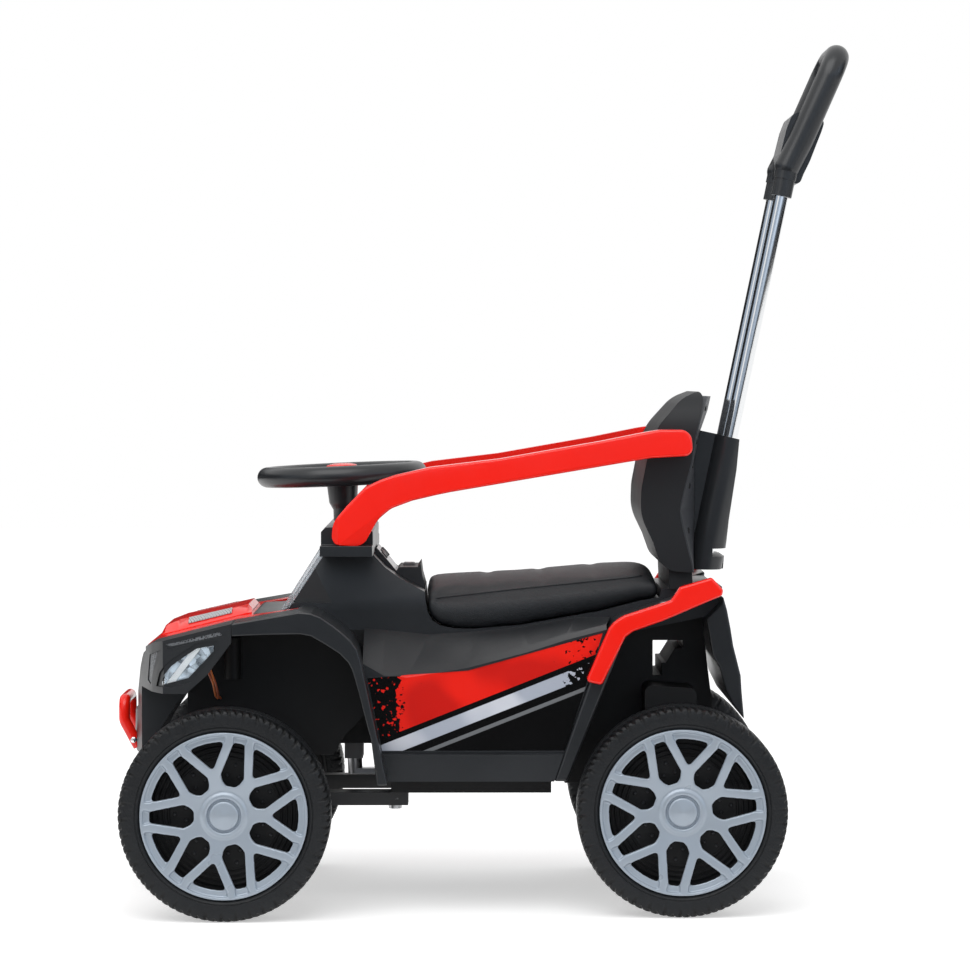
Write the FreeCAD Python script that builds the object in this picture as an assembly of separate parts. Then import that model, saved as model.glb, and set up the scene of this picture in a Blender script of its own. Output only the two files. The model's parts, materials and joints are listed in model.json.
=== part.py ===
import FreeCAD, Part
import math
import os

os.makedirs("parts", exist_ok=True)
V = FreeCAD.Vector

# Sizes are in millimetres. The front points along -X, the left side along -Y.

# Layout of the vehicle
TYRE_DIAMETER = 223.0
TYRE_WIDTH = 56.0
WHEELBASE = 482.0
FRONT_TRACK = 380.0
REAR_TRACK = 326.0
FRONT_OVERHANG = 127.2
REAR_OVERHANG = 190.8
FRONT_AXLE_SHIFT = 1.8
REAR_AXLE_SHIFT = 4.2
BODY_LIFT = 3.5
BODY_RISE = 265.0
AXLE_Z = TYRE_DIAMETER / 2
FRONT_AXLE_X = (FRONT_OVERHANG - WHEELBASE - REAR_OVERHANG) / 2
REAR_AXLE_X = FRONT_AXLE_X + WHEELBASE
BODY_X = FRONT_AXLE_X + FRONT_AXLE_SHIFT
BODY_Z = AXLE_Z + BODY_LIFT
BODY_SPAN = WHEELBASE - FRONT_AXLE_SHIFT - REAR_AXLE_SHIFT

# Half widths of the body
CORE_HALF = 96.0
SIDE_HALF = 160.0
LEDGE_HALF = 150.0
SILL_HALF = 166.0
FENDER_HALF = 200.0
REAR_HALF = 166.0
TRIM_HALF = 177.0
HOOD_HALF = 128.0
CARRIER_HALF = 62.0
TAIL_HALF = 126.0
WALL = 4.0

# Clearances
RUNNING_GAP = 0.06
PIN_GAP = 0.4
ARCH_GAP = 4.0
FREE_GAP = 0.5
BUTTON_GAP = 0.45

# Wheels
TYRE_WALL = 23.1
COVER_GAP = 0.4
BARREL_WALL = 8.4
RIM_RADIUS = TYRE_DIAMETER / 2 - TYRE_WALL
COVER_RADIUS = RIM_RADIUS - COVER_GAP
BARREL_RADIUS = RIM_RADIUS - BARREL_WALL
AXLE_RADIUS = 6.0
HUB_RADIUS = 16.0
HUB_FACE = 10.0
AXLE_HEAD_RADIUS = 9.5
AXLE_HEAD_LENGTH = 3.7
AXLE_HEAD_GAP = 0.3
SPOKE_COUNT = 7
WINDOW_CORNER = 3.0

# Steering gear
KINGPIN_INSET = 50.0
KINGPIN_RADIUS = 4.0
BOSS_RADIUS = 11.0
BOSS_HALF = 13.7
LUG_GAP = 0.3
LUG_THICKNESS = 5.0
ARM_LENGTH = 36.0
ARM_HALF = 8.0
ARM_THICKNESS = 6.0
LINK_THICKNESS = 6.0
LINK_HALF = 5.0
LINK_RISE = 13.0
LINK_GAP = 1.5
LINK_PIN_RADIUS = 3.0
COLUMN_LEAN = 2.5
SHAFT_RADIUS = 8.0
SHAFT_TOP = 51.0
RAIL_INNER = 60.0
RAIL_OUTER = 92.0
RAIL_LOW = 4.0
RAIL_HIGH = 10.0
BEAM_HALF = 14.0

# Steering wheel
STEERING_RADIUS = 82.5
STEERING_TUBE = 11.0
HUB_TOP = 6.0
HUB_DROP = 13.0
STEERING_HUB_RADIUS = 22.0
SLEEVE_TOP_RADIUS = 17.0
SLEEVE_WAIST_RADIUS = 15.5
SLEEVE_RADIUS = 11.4
SLEEVE_WAIST = 31.0
SLEEVE_STEP = 39.0
HORN_RADIUS = 17.0
HORN_HEIGHT = 7.0
HORN_TRAVEL = 2.0

# Push handle
HANDLE_LEAN = 11.8
TUBE_RADIUS = 7.75
TUBE_SPACING = 96.0
TUBE_LENGTH = 437.0
GRIP_RADIUS = 13.6
HOLDER_HALF = 68.0
HOLDER_BODY_HALF = 58.0
HOLDER_ROUND = 20.0

# Backrest and guard bars
BACK_HALF = 112.0
BACK_SHOULDER = 46.0
GUARD_INNER = 125.0
GUARD_OUTER = 151.0
GUARD_EDGE = 3.0
GUARD_FACET = 9.0

# Outlines seen from the side: shares of the body span behind its datum and of the body rise above it
BULKHEAD_SHARES = [
    (-0.107, 0.181), (0.227, 0.181), (0.254, 0.260), (0.300, 0.347), (0.351, 0.358), (0.351, 0.691),
    (0.124, 0.691), (-0.099, 0.645),
]
BULKHEAD_CAVITY_SHARES = [
    (-0.099, 0.196), (0.221, 0.196), (0.248, 0.272), (0.296, 0.362), (0.359, 0.374), (0.359, 0.675),
    (0.124, 0.675), (-0.092, 0.634),
]
BULKHEAD_KEEL_SHARES = [
    (0.216, 0.208), (0.334, 0.208), (0.351, 0.358), (0.300, 0.347), (0.254, 0.260),
]
CARRIER_SHARES = [
    (0.754, 0.049), (0.754, 0.668), (0.884, 0.675), (1.069, 0.743), (1.080, 0.555), (1.090, 0.411),
    (1.099, 0.132), (1.065, -0.064), (0.931, -0.064), (0.884, 0.049),
]
CARRIER_CAVITY_SHARES = [
    (0.737, 0.094), (0.737, 0.638), (0.939, 0.653), (0.939, 0.094),
]
CARRIER_WINDOW_SHARES = [
    (0.956, 0.494), (0.956, 0.638), (1.025, 0.638), (1.025, 0.606), (1.007, 0.606), (0.986, 0.545),
    (0.976, 0.545), (0.976, 0.494),
]
CORE_SHARES = [
    (0.355, 0.121), (0.355, 0.691), (0.044, 0.691), (0.044, 0.752), (0.052, 0.757), (0.122, 0.7645),
    (0.208, 1.000), (0.315, 1.000), (0.345, 0.943), (0.380, 0.898), (0.435, 0.845), (0.4375, 0.800),
    (0.441, 0.765), (0.452, 0.728), (0.470, 0.707), (0.505, 0.695), (0.548, 0.694), (0.651, 0.709),
    (0.832, 0.766), (0.922, 0.808), (0.966, 0.823), (0.973, 0.857), (1.095, 0.872), (1.103, 0.804),
    (1.069, 0.743), (0.884, 0.675), (0.758, 0.668), (0.729, 0.121),
]
CORE_CAVITY_SHARES = [
    (0.363, 0.094), (0.363, 0.706), (0.057, 0.706), (0.057, 0.738), (0.062, 0.742), (0.130, 0.750),
    (0.212, 0.985), (0.311, 0.989), (0.338, 0.932), (0.376, 0.883), (0.426, 0.834), (0.429, 0.797),
    (0.433, 0.755), (0.446, 0.714), (0.466, 0.692), (0.503, 0.680), (0.548, 0.679), (0.651, 0.694),
    (0.832, 0.751), (0.884, 0.774), (0.884, 0.691), (0.750, 0.653), (0.721, 0.094),
]
SIDE_OUTER_SHARES = [
    (0.298, 0.574), (0.345, 0.525), (0.401, 0.515), (0.534, 0.557), (0.666, 0.619), (0.752, 0.668),
    (0.842, 0.709), (0.729, 0.121), (0.353, 0.121),
]
SIDE_INNER_SHARES = [
    (0.298, 0.698), (0.345, 0.691), (0.443, 0.672), (0.548, 0.683), (0.651, 0.702), (0.779, 0.743),
    (0.855, 0.743), (0.729, 0.121), (0.353, 0.121),
]
SILL_SHARES = [
    (0.353, 0.102), (0.342, 0.211), (0.746, 0.211), (0.725, 0.102),
]
FRONT_FENDER_SHARES = [
    (0.011, 0.743), (0.160, 0.789), (0.187, 0.785), (0.208, 0.770), (0.235, 0.736), (0.254, 0.709),
    (0.275, 0.675), (0.288, 0.642), (0.296, 0.596), (0.355, 0.102), (0.332, 0.102), (0.319, 0.283),
    (0.307, 0.362), (0.295, 0.449), (0.284, 0.521), (0.277, 0.562), (0.269, 0.589), (0.251, 0.623),
    (0.216, 0.664), (0.187, 0.694), (0.164, 0.702), (0.090, 0.700), (0.011, 0.694),
]
REAR_FENDER_SHARES = [
    (0.725, 0.102), (0.845, 0.709), (0.863, 0.743), (0.880, 0.762), (0.983, 0.823), (1.099, 0.887),
    (1.097, 0.849), (0.964, 0.747), (0.899, 0.706), (0.882, 0.683), (0.754, 0.102),
]
REAR_TRIM_SHARES = [
    (0.794, 0.506), (0.845, 0.717), (0.855, 0.740), (0.868, 0.758), (0.880, 0.770), (0.983, 0.830),
    (1.003, 0.883), (1.074, 0.921), (1.099, 0.872), (1.097, 0.849), (0.964, 0.747), (0.899, 0.706),
    (0.882, 0.683), (0.830, 0.492),
]
TAIL_SHARES = [
    (1.069, 0.743), (1.103, 0.804), (1.107, 0.834), (1.116, 0.777), (1.124, 0.702), (1.130, 0.634),
    (1.147, 0.513), (1.149, 0.453), (1.155, 0.336), (1.132, 0.385), (1.113, 0.453), (1.099, 0.547),
    (1.084, 0.592),
]
FASCIA_SIDE_SHARES = [
    (-0.237, 0.181), (-0.239, 0.238), (-0.235, 0.336), (-0.225, 0.385), (-0.221, 0.438),
    (-0.211, 0.540), (-0.203, 0.585), (-0.191, 0.634), (-0.164, 0.664), (-0.097, 0.694), (0.011, 0.743),
    (0.011, 0.668), (-0.042, 0.540), (-0.080, 0.479), (-0.128, 0.389), (-0.168, 0.279), (-0.191, 0.181),
]
FASCIA_CAVITY_SHARES = [
    (-0.229, 0.132), (-0.230, 0.238), (-0.227, 0.332), (-0.216, 0.381), (-0.212, 0.434),
    (-0.203, 0.532), (-0.195, 0.577), (-0.184, 0.623), (-0.160, 0.649), (-0.095, 0.679), (0.023, 0.728),
    (0.023, 0.132),
]
HOOD_SHARES = [
    (-0.195, 0.623), (-0.191, 0.634), (-0.164, 0.664), (-0.097, 0.694), (0.011, 0.743), (0.151, 0.785),
    (0.151, 0.766), (0.011, 0.725), (-0.097, 0.675), (-0.164, 0.645), (-0.187, 0.619),
]
HOOD_SPACE_SHARES = [
    (-0.313, 0.472), (-0.187, 0.619), (-0.164, 0.645), (-0.097, 0.675), (0.011, 0.725), (0.151, 0.766),
    (0.151, 1.151), (-0.313, 1.151),
]
WINDSCREEN_SHARES = [
    (0.103, 0.758), (0.195, 1.019), (0.208, 1.000), (0.128, 0.781),
]
WINDSCREEN_CAVITY_SHARES = [
    (0.113, 0.764), (0.193, 0.989), (0.233, 0.989), (0.153, 0.764),
]
SCOOP_LOW_SHARES = [
    (-0.170, 0.660), (-0.158, 0.670), (-0.128, 0.683), (0.027, 0.753), (0.040, 0.757), (0.040, 0.732),
    (-0.097, 0.687),
]
GUARD_SHARES = [
    (0.227, 1.042), (0.231, 1.136), (0.263, 1.204), (0.303, 1.277), (0.336, 1.306), (0.370, 1.326),
    (0.447, 1.358), (0.605, 1.392), (0.828, 1.462), (0.939, 1.502), (0.962, 1.508), (1.017, 1.508),
    (1.032, 1.483), (1.036, 1.404), (0.939, 1.394), (0.828, 1.362), (0.716, 1.330), (0.605, 1.294),
    (0.494, 1.258), (0.464, 1.247), (0.409, 1.224), (0.361, 1.192), (0.333, 1.150), (0.318, 1.105),
    (0.299, 1.042),
]
GUARD_END_SHARES = [
    (0.952, 1.408), (0.952, 1.498), (1.017, 1.498), (1.027, 1.479), (1.029, 1.415),
]
BACK_FRONT_SHARES = [
    (1.058, 1.664), (1.017, 1.634), (0.962, 1.521), (0.943, 1.445), (0.924, 1.268), (0.922, 1.158),
    (0.950, 1.053), (0.973, 0.936), (1.040, 0.926), (1.0375, 0.958), (1.018, 1.099), (1.009, 1.178),
    (1.023, 1.284), (1.0375, 1.381), (1.045, 1.478), (1.060, 1.584), (1.066, 1.641),
]
BACK_PLUG_SHARES = [
    (0.989, 0.858), (0.987, 0.940), (1.039, 0.940), (1.042, 0.865),
]
BACK_SEAM_SHARES = [
    (1.040, 0.926), (1.0375, 0.958), (1.018, 1.099), (1.009, 1.178), (1.023, 1.284), (1.0375, 1.381),
    (1.045, 1.478), (1.060, 1.584), (1.066, 1.641),
]
BACK_LINE_SHARES = (1.051, 1.051, 1.051, 1.051, 1.051, 1.051, 1.0605, 1.081, 1.088)
HOLDER_SHARES = [
    (1.051, 1.381), (1.0605, 1.478), (1.066, 1.500), (1.097, 1.488), (1.153, 1.464), (1.147, 1.340),
    (1.130, 1.132), (1.120, 0.928), (1.051, 0.930),
]
HOLDER_FRONT_SHARES = [
    (1.030, 0.850), (1.030, 1.600), (1.132, 1.600), (1.046, 0.850),
]
HOLDER_NOTCH_SHARES = [
    (1.092, 0.981), (1.092, 1.015), (1.179, 1.015), (1.179, 0.981),
]
COLLAR_SHARES = [
    (0.202, 1.000), (0.202, 1.094), (0.212, 1.113), (0.309, 1.113), (0.319, 1.094), (0.319, 1.000),
]
COLLAR_LIP_SHARES = [
    (0.202, 1.000), (0.202, 1.042), (0.319, 1.042), (0.319, 1.000),
]
DASH_SHARES = [
    (0.315, 1.000), (0.345, 0.943), (0.380, 0.898), (0.4345, 0.845), (0.4355, 0.855), (0.428, 0.903),
    (0.4245, 0.953), (0.4175, 0.936), (0.376, 0.936), (0.368, 0.921), (0.353, 0.955), (0.324, 1.015),
]
DASH_FACE_SHARES = [(0.324, 1.015), (0.353, 0.955)]
ROCKER_SHARES = (0.3965, 0.936)
LENS_SHARES = [
    (-0.145, 0.498), (-0.137, 0.540), (-0.122, 0.574), (-0.099, 0.604), (-0.065, 0.645),
    (-0.027, 0.657), (-0.027, 0.638), (-0.053, 0.585), (-0.084, 0.528), (-0.122, 0.509),
]
SCOOP_SHARES = [
    (-0.170, 0.664), (-0.160, 0.698), (-0.126, 0.722), (0.030, 0.785), (0.040, 0.765), (0.040, 0.732),
    (-0.097, 0.691),
]

# Helpers


def side(shares):
    """Outline points (x, z) from shares of the body span and of the body rise."""
    return [(BODY_X + a * BODY_SPAN, BODY_Z + b * BODY_RISE) for a, b in shares]


def outline(points, y):
    """Closed straight-edged wire in the plane at y."""
    corners = [V(x, y, z) for x, z in points]
    return Part.makePolygon(corners + corners[:1])


def prism(points, near, far):
    """Side outline carried from one y to another."""
    return Part.Face(outline(points, near)).extrude(V(0, far - near, 0))


def wide(points, half):
    """Side outline carried across the middle of the vehicle."""
    return prism(points, -half, half)


def plan_prism(points, low, high):
    """Top outline (x, y) carried from one height to another."""
    corners = [V(x, y, low) for x, y in points]
    face = Part.Face(Part.makePolygon(corners + corners[:1]))
    return face.extrude(V(0, 0, high - low))


def block(x0, x1, y0, y1, z0, z1):
    """Upright box between two corners."""
    return Part.makeBox(x1 - x0, y1 - y0, z1 - z0, V(x0, y0, z0))


def rod(start, end, radius):
    """Round bar between two points."""
    return Part.makeCylinder(radius, (end - start).Length, start, end - start)


def mirrored(shape):
    """The same piece on the other side of the vehicle."""
    return shape.mirror(V(0, 0, 0), V(0, 1, 0))


def soft_wire(corners, radius, closed=True):
    """Wire through the corners, each rounded as far as its edges allow."""
    count = len(corners)
    bends = []
    for i in range(count):
        p = corners[i]
        a = corners[i - 1] - p
        b = corners[(i + 1) % count] - p
        turn = a.getAngle(b)
        end = not closed and i in (0, count - 1)
        if end or turn > STRAIGHT_TURN:
            bends.append((p, None, p))
            continue
        reach = min(radius / math.tan(turn / 2), REACH_SHARE * a.Length, REACH_SHARE * b.Length)
        bow = reach * math.tan(turn / 2)
        a.normalize()
        b.normalize()
        across = a + b
        across.normalize()
        middle = p + across * (bow / math.sin(turn / 2) - bow)
        bends.append((p + a * reach, middle, p + b * reach))
    edges = []
    for i in range(count):
        first, middle, last = bends[i]
        if middle:
            edges.append(Part.Arc(first, middle, last).toShape())
        if closed or i < count - 1:
            edges.append(Part.makeLine(last, bends[(i + 1) % count][0]))
    return Part.Wire(edges)


def soft_prism(points, radius, near, far):
    """Side outline with rounded corners, carried from one y to another."""
    corners = [V(x, near, z) for x, z in points]
    return Part.Face(soft_wire(corners, radius)).extrude(V(0, far - near, 0))


def rounded_at(shape, y, radius):
    """Rounds every edge that lies in the plane at y."""
    flat = []
    for edge in shape.Edges:
        box = edge.BoundBox
        if abs(box.YMin - y) + abs(box.YMax - y) < EDGE_SLACK:
            flat.append(edge)
    return shape.makeFillet(radius, flat)


def swept(corners, bend, radius):
    """Round tube along a line through the corners."""
    path = soft_wire(corners, bend, False)
    ring = Part.Wire(Part.makeCircle(radius, corners[0], corners[1] - corners[0]))
    return path.makePipeShell([ring], True, False)


def revolved(profile):
    """Ring turned about the Y axis from (radius, y) points."""
    corners = [V(r, y, 0) for r, y in profile]
    face = Part.Face(Part.makePolygon(corners + corners[:1]))
    return face.revolve(V(0, 0, 0), V(0, 1, 0), 360)


def save(name, *solids):
    """Writes one node: one solid, or a group of like solids."""
    shape = solids[0] if len(solids) == 1 else Part.makeCompound(list(solids))
    shape.exportStep("parts/" + name + ".step")


STRAIGHT_TURN = math.radians(177)
REACH_SHARE = 0.45
EDGE_SLACK = 0.001


# Wheels


TYRE_SHARES = [
    (0.0, -0.43), (0.14, -0.48), (0.5, -0.5), (0.86, -0.49), (0.96, -0.44), (1.0, -0.32),
    (1.0, 0.32), (0.96, 0.44), (0.86, 0.49), (0.5, 0.5), (0.14, 0.48), (0.0, 0.43),
]
FORK_WINDOW_SHARES = [
    (0.555, 0.0), (0.885, 0.272), (0.885, 0.136), (0.885, 0.0), (0.885, -0.136), (0.885, -0.272),
]
GAP_WINDOW_SHARES = [
    (0.885, 0.085), (0.5, 0.315), (0.42, 0.285), (0.362, 0.17),
    (0.362, -0.17), (0.42, -0.285), (0.5, -0.315), (0.885, -0.085),
]
FORK_CHANNEL_SHARES = [
    (0.87, 0.275), (0.965, 0.292), (0.965, 0.195), (0.965, 0.098), (0.965, 0.0), (0.965, -0.098),
    (0.965, -0.195), (0.965, -0.292), (0.87, -0.275), (0.87, -0.138), (0.87, 0.0), (0.87, 0.138),
]
GAP_CHANNEL_SHARES = [(0.87, 0.092), (0.965, 0.1), (0.965, 0.0), (0.965, -0.1), (0.87, -0.092)]
CHANNEL_CORNER = 1.5
CHANNEL_DEPTH = 4.2
RING_SHARES = (0.66, 0.72, 0.78, 0.84)
RING_WIDTH = 2.2
RING_HEIGHT = 1.6
WEB_LOW = -4.0
WEB_HIGH = 2.0
BARREL_HALF = 21.5
COVER_FACE = 28.0
COVER_BACK = 15.0
COVER_SKIN = 4.0
COVER_FLANGE = 12.0
COVER_RING = COVER_RADIUS - COVER_FLANGE
COVER_HUB = 25.0
CAP_RIM = 22.5
CAP_GROOVE = 18.0
CAP_RADIUS = 15.4
CAP_RISE = 2.0
SPOKE_SET = 18.0
SPOKE_TIP = COVER_RADIUS - SPOKE_SET
SPOKE_DROP = 1.2
FRONT_COVER_TURN = -13.5
REAR_COVER_TURN = 7.0


def tyre():
    """Foam tyre with a crowned tread."""
    depth = AXLE_Z - RIM_RADIUS
    return revolved([(RIM_RADIUS + a * depth, b * TYRE_WIDTH) for a, b in TYRE_SHARES])


def wheel_core():
    """Black core: hub with a running bore, ringed web and barrel."""
    bore = AXLE_RADIUS + RUNNING_GAP
    half = TYRE_WIDTH / 2
    core = revolved([(bore, -half), (HUB_RADIUS, -half), (HUB_RADIUS, HUB_FACE), (bore, HUB_FACE)])
    web = revolved([
        (HUB_RADIUS, WEB_LOW), (BARREL_RADIUS, WEB_LOW), (BARREL_RADIUS, WEB_HIGH), (HUB_RADIUS, WEB_HIGH),
    ])
    barrel = revolved([
        (BARREL_RADIUS, -BARREL_HALF), (RIM_RADIUS, -BARREL_HALF),
        (RIM_RADIUS, BARREL_HALF), (BARREL_RADIUS, BARREL_HALF),
    ])
    core = core.fuse([web, barrel])
    rings = []
    for share in RING_SHARES:
        inner = share * RIM_RADIUS
        top = WEB_HIGH + RING_HEIGHT
        rings.append(revolved([
            (inner, WEB_HIGH), (inner + RING_WIDTH, WEB_HIGH), (inner + RING_WIDTH, top), (inner, top),
        ]))
    return core.fuse(rings).removeSplitter()


def cover_cut(shares, turn, corner, low):
    """One rounded cut through the cover from a depth outwards, at an angle from the first spoke."""
    pitch = math.tau / SPOKE_COUNT
    points = []
    for radius_share, pitch_share in shares:
        angle = (turn + pitch_share) * pitch
        radius = radius_share * COVER_RADIUS
        points.append((radius * math.sin(angle), radius * math.cos(angle)))
    return soft_prism(points, corner, low, 2 * COVER_FACE)


def wheel_cover():
    """Silver cover: dished disc with forked spokes, a channelled rim and a centre cap."""
    groove = COVER_BACK + COVER_SKIN
    brow = groove + CAP_RISE
    shell = revolved([
        (0, COVER_BACK), (COVER_RING, COVER_FACE - 2 * COVER_SKIN), (COVER_RING, BARREL_HALF),
        (COVER_RADIUS, BARREL_HALF), (COVER_RADIUS, COVER_FACE), (SPOKE_TIP, COVER_FACE - SPOKE_DROP),
        (COVER_HUB, brow), (CAP_RIM, brow + CAP_RISE), (CAP_GROOVE, brow + CAP_RISE),
        (CAP_GROOVE, groove), (CAP_RADIUS, groove), (CAP_RADIUS, brow + CAP_RISE),
        (0, brow + 2 * CAP_RISE),
    ])
    floor = COVER_FACE - CHANNEL_DEPTH
    cuts = []
    for k in range(SPOKE_COUNT):
        between = k + 1 / 2
        cuts.append(cover_cut(FORK_WINDOW_SHARES, k, WINDOW_CORNER, 0))
        cuts.append(cover_cut(GAP_WINDOW_SHARES, between, WINDOW_CORNER, 0))
        cuts.append(cover_cut(FORK_CHANNEL_SHARES, k, CHANNEL_CORNER, floor))
        cuts.append(cover_cut(GAP_CHANNEL_SHARES, between, CHANNEL_CORNER, floor))
    return shell.cut(cuts)


def wheel_room(x, track):
    """Left space that a wheel needs inside its arch."""
    inner = -track / 2 + TYRE_WIDTH / 2 + ARCH_GAP
    return rod(V(x, -2 * track, AXLE_Z), V(x, inner, AXLE_Z), AXLE_Z + ARCH_GAP)


def wheels():
    """Four wheels, each a tyre, a core and a cover."""
    pieces = [("tyre", tyre()), ("core", wheel_core()), ("cover", wheel_cover())]
    ends = [
        ("front", FRONT_AXLE_X, FRONT_TRACK, FRONT_COVER_TURN),
        ("rear", REAR_AXLE_X, REAR_TRACK, REAR_COVER_TURN),
    ]
    for end, x, track, turn in ends:
        for hand, sign in (("left", -1), ("right", 1)):
            for kind, shape in pieces:
                turned = shape.copy() if sign > 0 else mirrored(shape)
                if kind == "cover":
                    turned.rotate(V(0, 0, 0), V(0, 1, 0), turn)
                turned.translate(V(x, sign * track / 2, AXLE_Z))
                save(end + "_" + hand + "_" + kind, turned)


# Steering gear


COLUMN_SHARES = (0.2405, 1.315)
BEARING_LOW_SHARE = 0.134
BEARING_HIGH_SHARE = 0.208
BEARING_HALF = 10.0
BEARING_WIDTH = 44.0
PIN_HEAD = 3.0
STUB_SHOULDER_RADIUS = 9.0
STUB_SHOULDER_GAP = 0.5
SPOKE_WIDTH = 16.0
SPOKE_THICKNESS = 7.0
SPOKE_SINK = 3.0
SPOKE_TURNS = (0, 90, 270)
RAIL_END_SHARE = 0.397
BOLT_SHARE = 0.367
BOLT_RADIUS = 4.0
BOLT_HEAD = 7.0
BOLT_NUT = 5.0

COLUMN_X, COLUMN_Z = side([COLUMN_SHARES])[0]
KINGPIN_Y = FRONT_TRACK / 2 - KINGPIN_INSET
LINK_Z = AXLE_Z + LINK_RISE
DROP_ARM_Z = LINK_Z + LINK_THICKNESS + LINK_GAP
KNUCKLE_ARM_Z = LINK_Z - LINK_GAP - ARM_THICKNESS
COLUMN_FOOT_X = COLUMN_X + (COLUMN_Z - DROP_ARM_Z) * math.tan(math.radians(COLUMN_LEAN))
COLUMN_LENGTH = (COLUMN_Z - DROP_ARM_Z) / math.cos(math.radians(COLUMN_LEAN))


def on_column(shape):
    """Moves a piece made about the upright Z axis to the leaning column."""
    shape.rotate(V(0, 0, 0), V(0, 1, 0), -COLUMN_LEAN)
    shape.translate(V(COLUMN_X, 0, COLUMN_Z))
    return shape


def column_hole(gap):
    """Round clearance along the whole column."""
    radius = SHAFT_RADIUS + gap
    return on_column(Part.makeCylinder(radius, 2 * COLUMN_LENGTH, V(0, 0, -2 * COLUMN_LENGTH + SHAFT_TOP)))


def arm_plate(pivot_x, pivot_y, low):
    """Flat lever that points back from a pivot, with a round end and a pin hole."""
    tip_x = pivot_x + ARM_LENGTH
    plate = block(pivot_x, tip_x, pivot_y - ARM_HALF, pivot_y + ARM_HALF, low, low + ARM_THICKNESS)
    tip = Part.makeCylinder(ARM_HALF, ARM_THICKNESS, V(tip_x, pivot_y, low))
    hole = Part.makeCylinder(LINK_PIN_RADIUS + PIN_GAP, ARM_THICKNESS, V(tip_x, pivot_y, low))
    return plate.fuse(tip).cut(hole)


def steering_shaft():
    """Leaning shaft with the lever at its lower end."""
    shaft = on_column(Part.makeCylinder(SHAFT_RADIUS, COLUMN_LENGTH - SHAFT_TOP, V(0, 0, -COLUMN_LENGTH)))
    lever = arm_plate(COLUMN_FOOT_X, 0, DROP_ARM_Z)
    return shaft.fuse(lever).removeSplitter()


def steering_wheel():
    """Round rim on three spokes, with a hub on a stepped sleeve round the shaft."""
    rim = Part.makeTorus(STEERING_RADIUS, STEERING_TUBE)
    hub = Part.makeCylinder(STEERING_HUB_RADIUS, HUB_TOP + HUB_DROP, V(0, 0, -HUB_DROP))
    collar = Part.makeCone(
        SLEEVE_WAIST_RADIUS, SLEEVE_TOP_RADIUS, SLEEVE_WAIST - HUB_DROP, V(0, 0, -SLEEVE_WAIST))
    taper = SLEEVE_STEP - SLEEVE_WAIST
    neck = Part.makeCone(SLEEVE_RADIUS, SLEEVE_WAIST_RADIUS, taper, V(0, 0, -SLEEVE_STEP))
    sleeve = Part.makeCylinder(SLEEVE_RADIUS, SHAFT_TOP - SLEEVE_STEP, V(0, 0, -SHAFT_TOP))
    parts = [hub, collar, neck, sleeve]
    high = -SPOKE_SINK
    low = high - SPOKE_THICKNESS
    for turn in SPOKE_TURNS:
        spoke = block(0, STEERING_RADIUS, -SPOKE_WIDTH / 2, SPOKE_WIDTH / 2, low, high)
        spoke.rotate(V(0, 0, 0), V(0, 0, 1), turn)
        parts.append(spoke)
    wheel = rim.fuse(parts)
    floor = HUB_TOP - HORN_HEIGHT + HORN_TRAVEL
    pocket = Part.makeCylinder(HORN_RADIUS + BUTTON_GAP, HUB_TOP, V(0, 0, floor))
    return on_column(wheel.cut(pocket).removeSplitter())


def horn_cap():
    """Red push cap in the hub."""
    low = HUB_TOP - HORN_HEIGHT + 2 * HORN_TRAVEL
    cap = Part.makeCylinder(HORN_RADIUS, HORN_HEIGHT, V(0, 0, low))
    dome = Part.makeCone(HORN_RADIUS, HORN_RADIUS / 2, HORN_TRAVEL, V(0, 0, low + HORN_HEIGHT))
    return on_column(cap.fuse(dome))


def column_bearing():
    """Grey block under the bulkhead that guides the lower end of the shaft."""
    low = side([(0, BEARING_LOW_SHARE)])[0][1]
    high = side([(0, BEARING_HIGH_SHARE)])[0][1]
    x = COLUMN_X + (COLUMN_Z - (low + high) / 2) * math.tan(math.radians(COLUMN_LEAN))
    body = block(x - BEARING_HALF, x + BEARING_HALF, -BEARING_WIDTH / 2, BEARING_WIDTH / 2, low, high)
    return body.cut(column_hole(RUNNING_GAP))


def steering_link():
    """T-shaped link: cross bar to both knuckles and a tongue to the column lever."""
    x = FRONT_AXLE_X + ARM_LENGTH
    back = COLUMN_FOOT_X + ARM_LENGTH
    end = KINGPIN_Y + ARM_HALF
    high = LINK_Z + LINK_THICKNESS
    bar = block(x - LINK_HALF, x + LINK_HALF, -end, end, LINK_Z, high)
    tongue = block(x, back + LINK_HALF, -LINK_HALF, LINK_HALF, LINK_Z, high)
    reach = LINK_GAP + ARM_THICKNESS + LINK_GAP
    pins = [
        Part.makeCylinder(LINK_PIN_RADIUS, reach, V(x, -KINGPIN_Y, LINK_Z - reach)),
        Part.makeCylinder(LINK_PIN_RADIUS, reach, V(x, KINGPIN_Y, LINK_Z - reach)),
        Part.makeCylinder(LINK_PIN_RADIUS, reach, V(back, 0, high)),
    ]
    return bar.fuse([tongue] + pins).removeSplitter()


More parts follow.
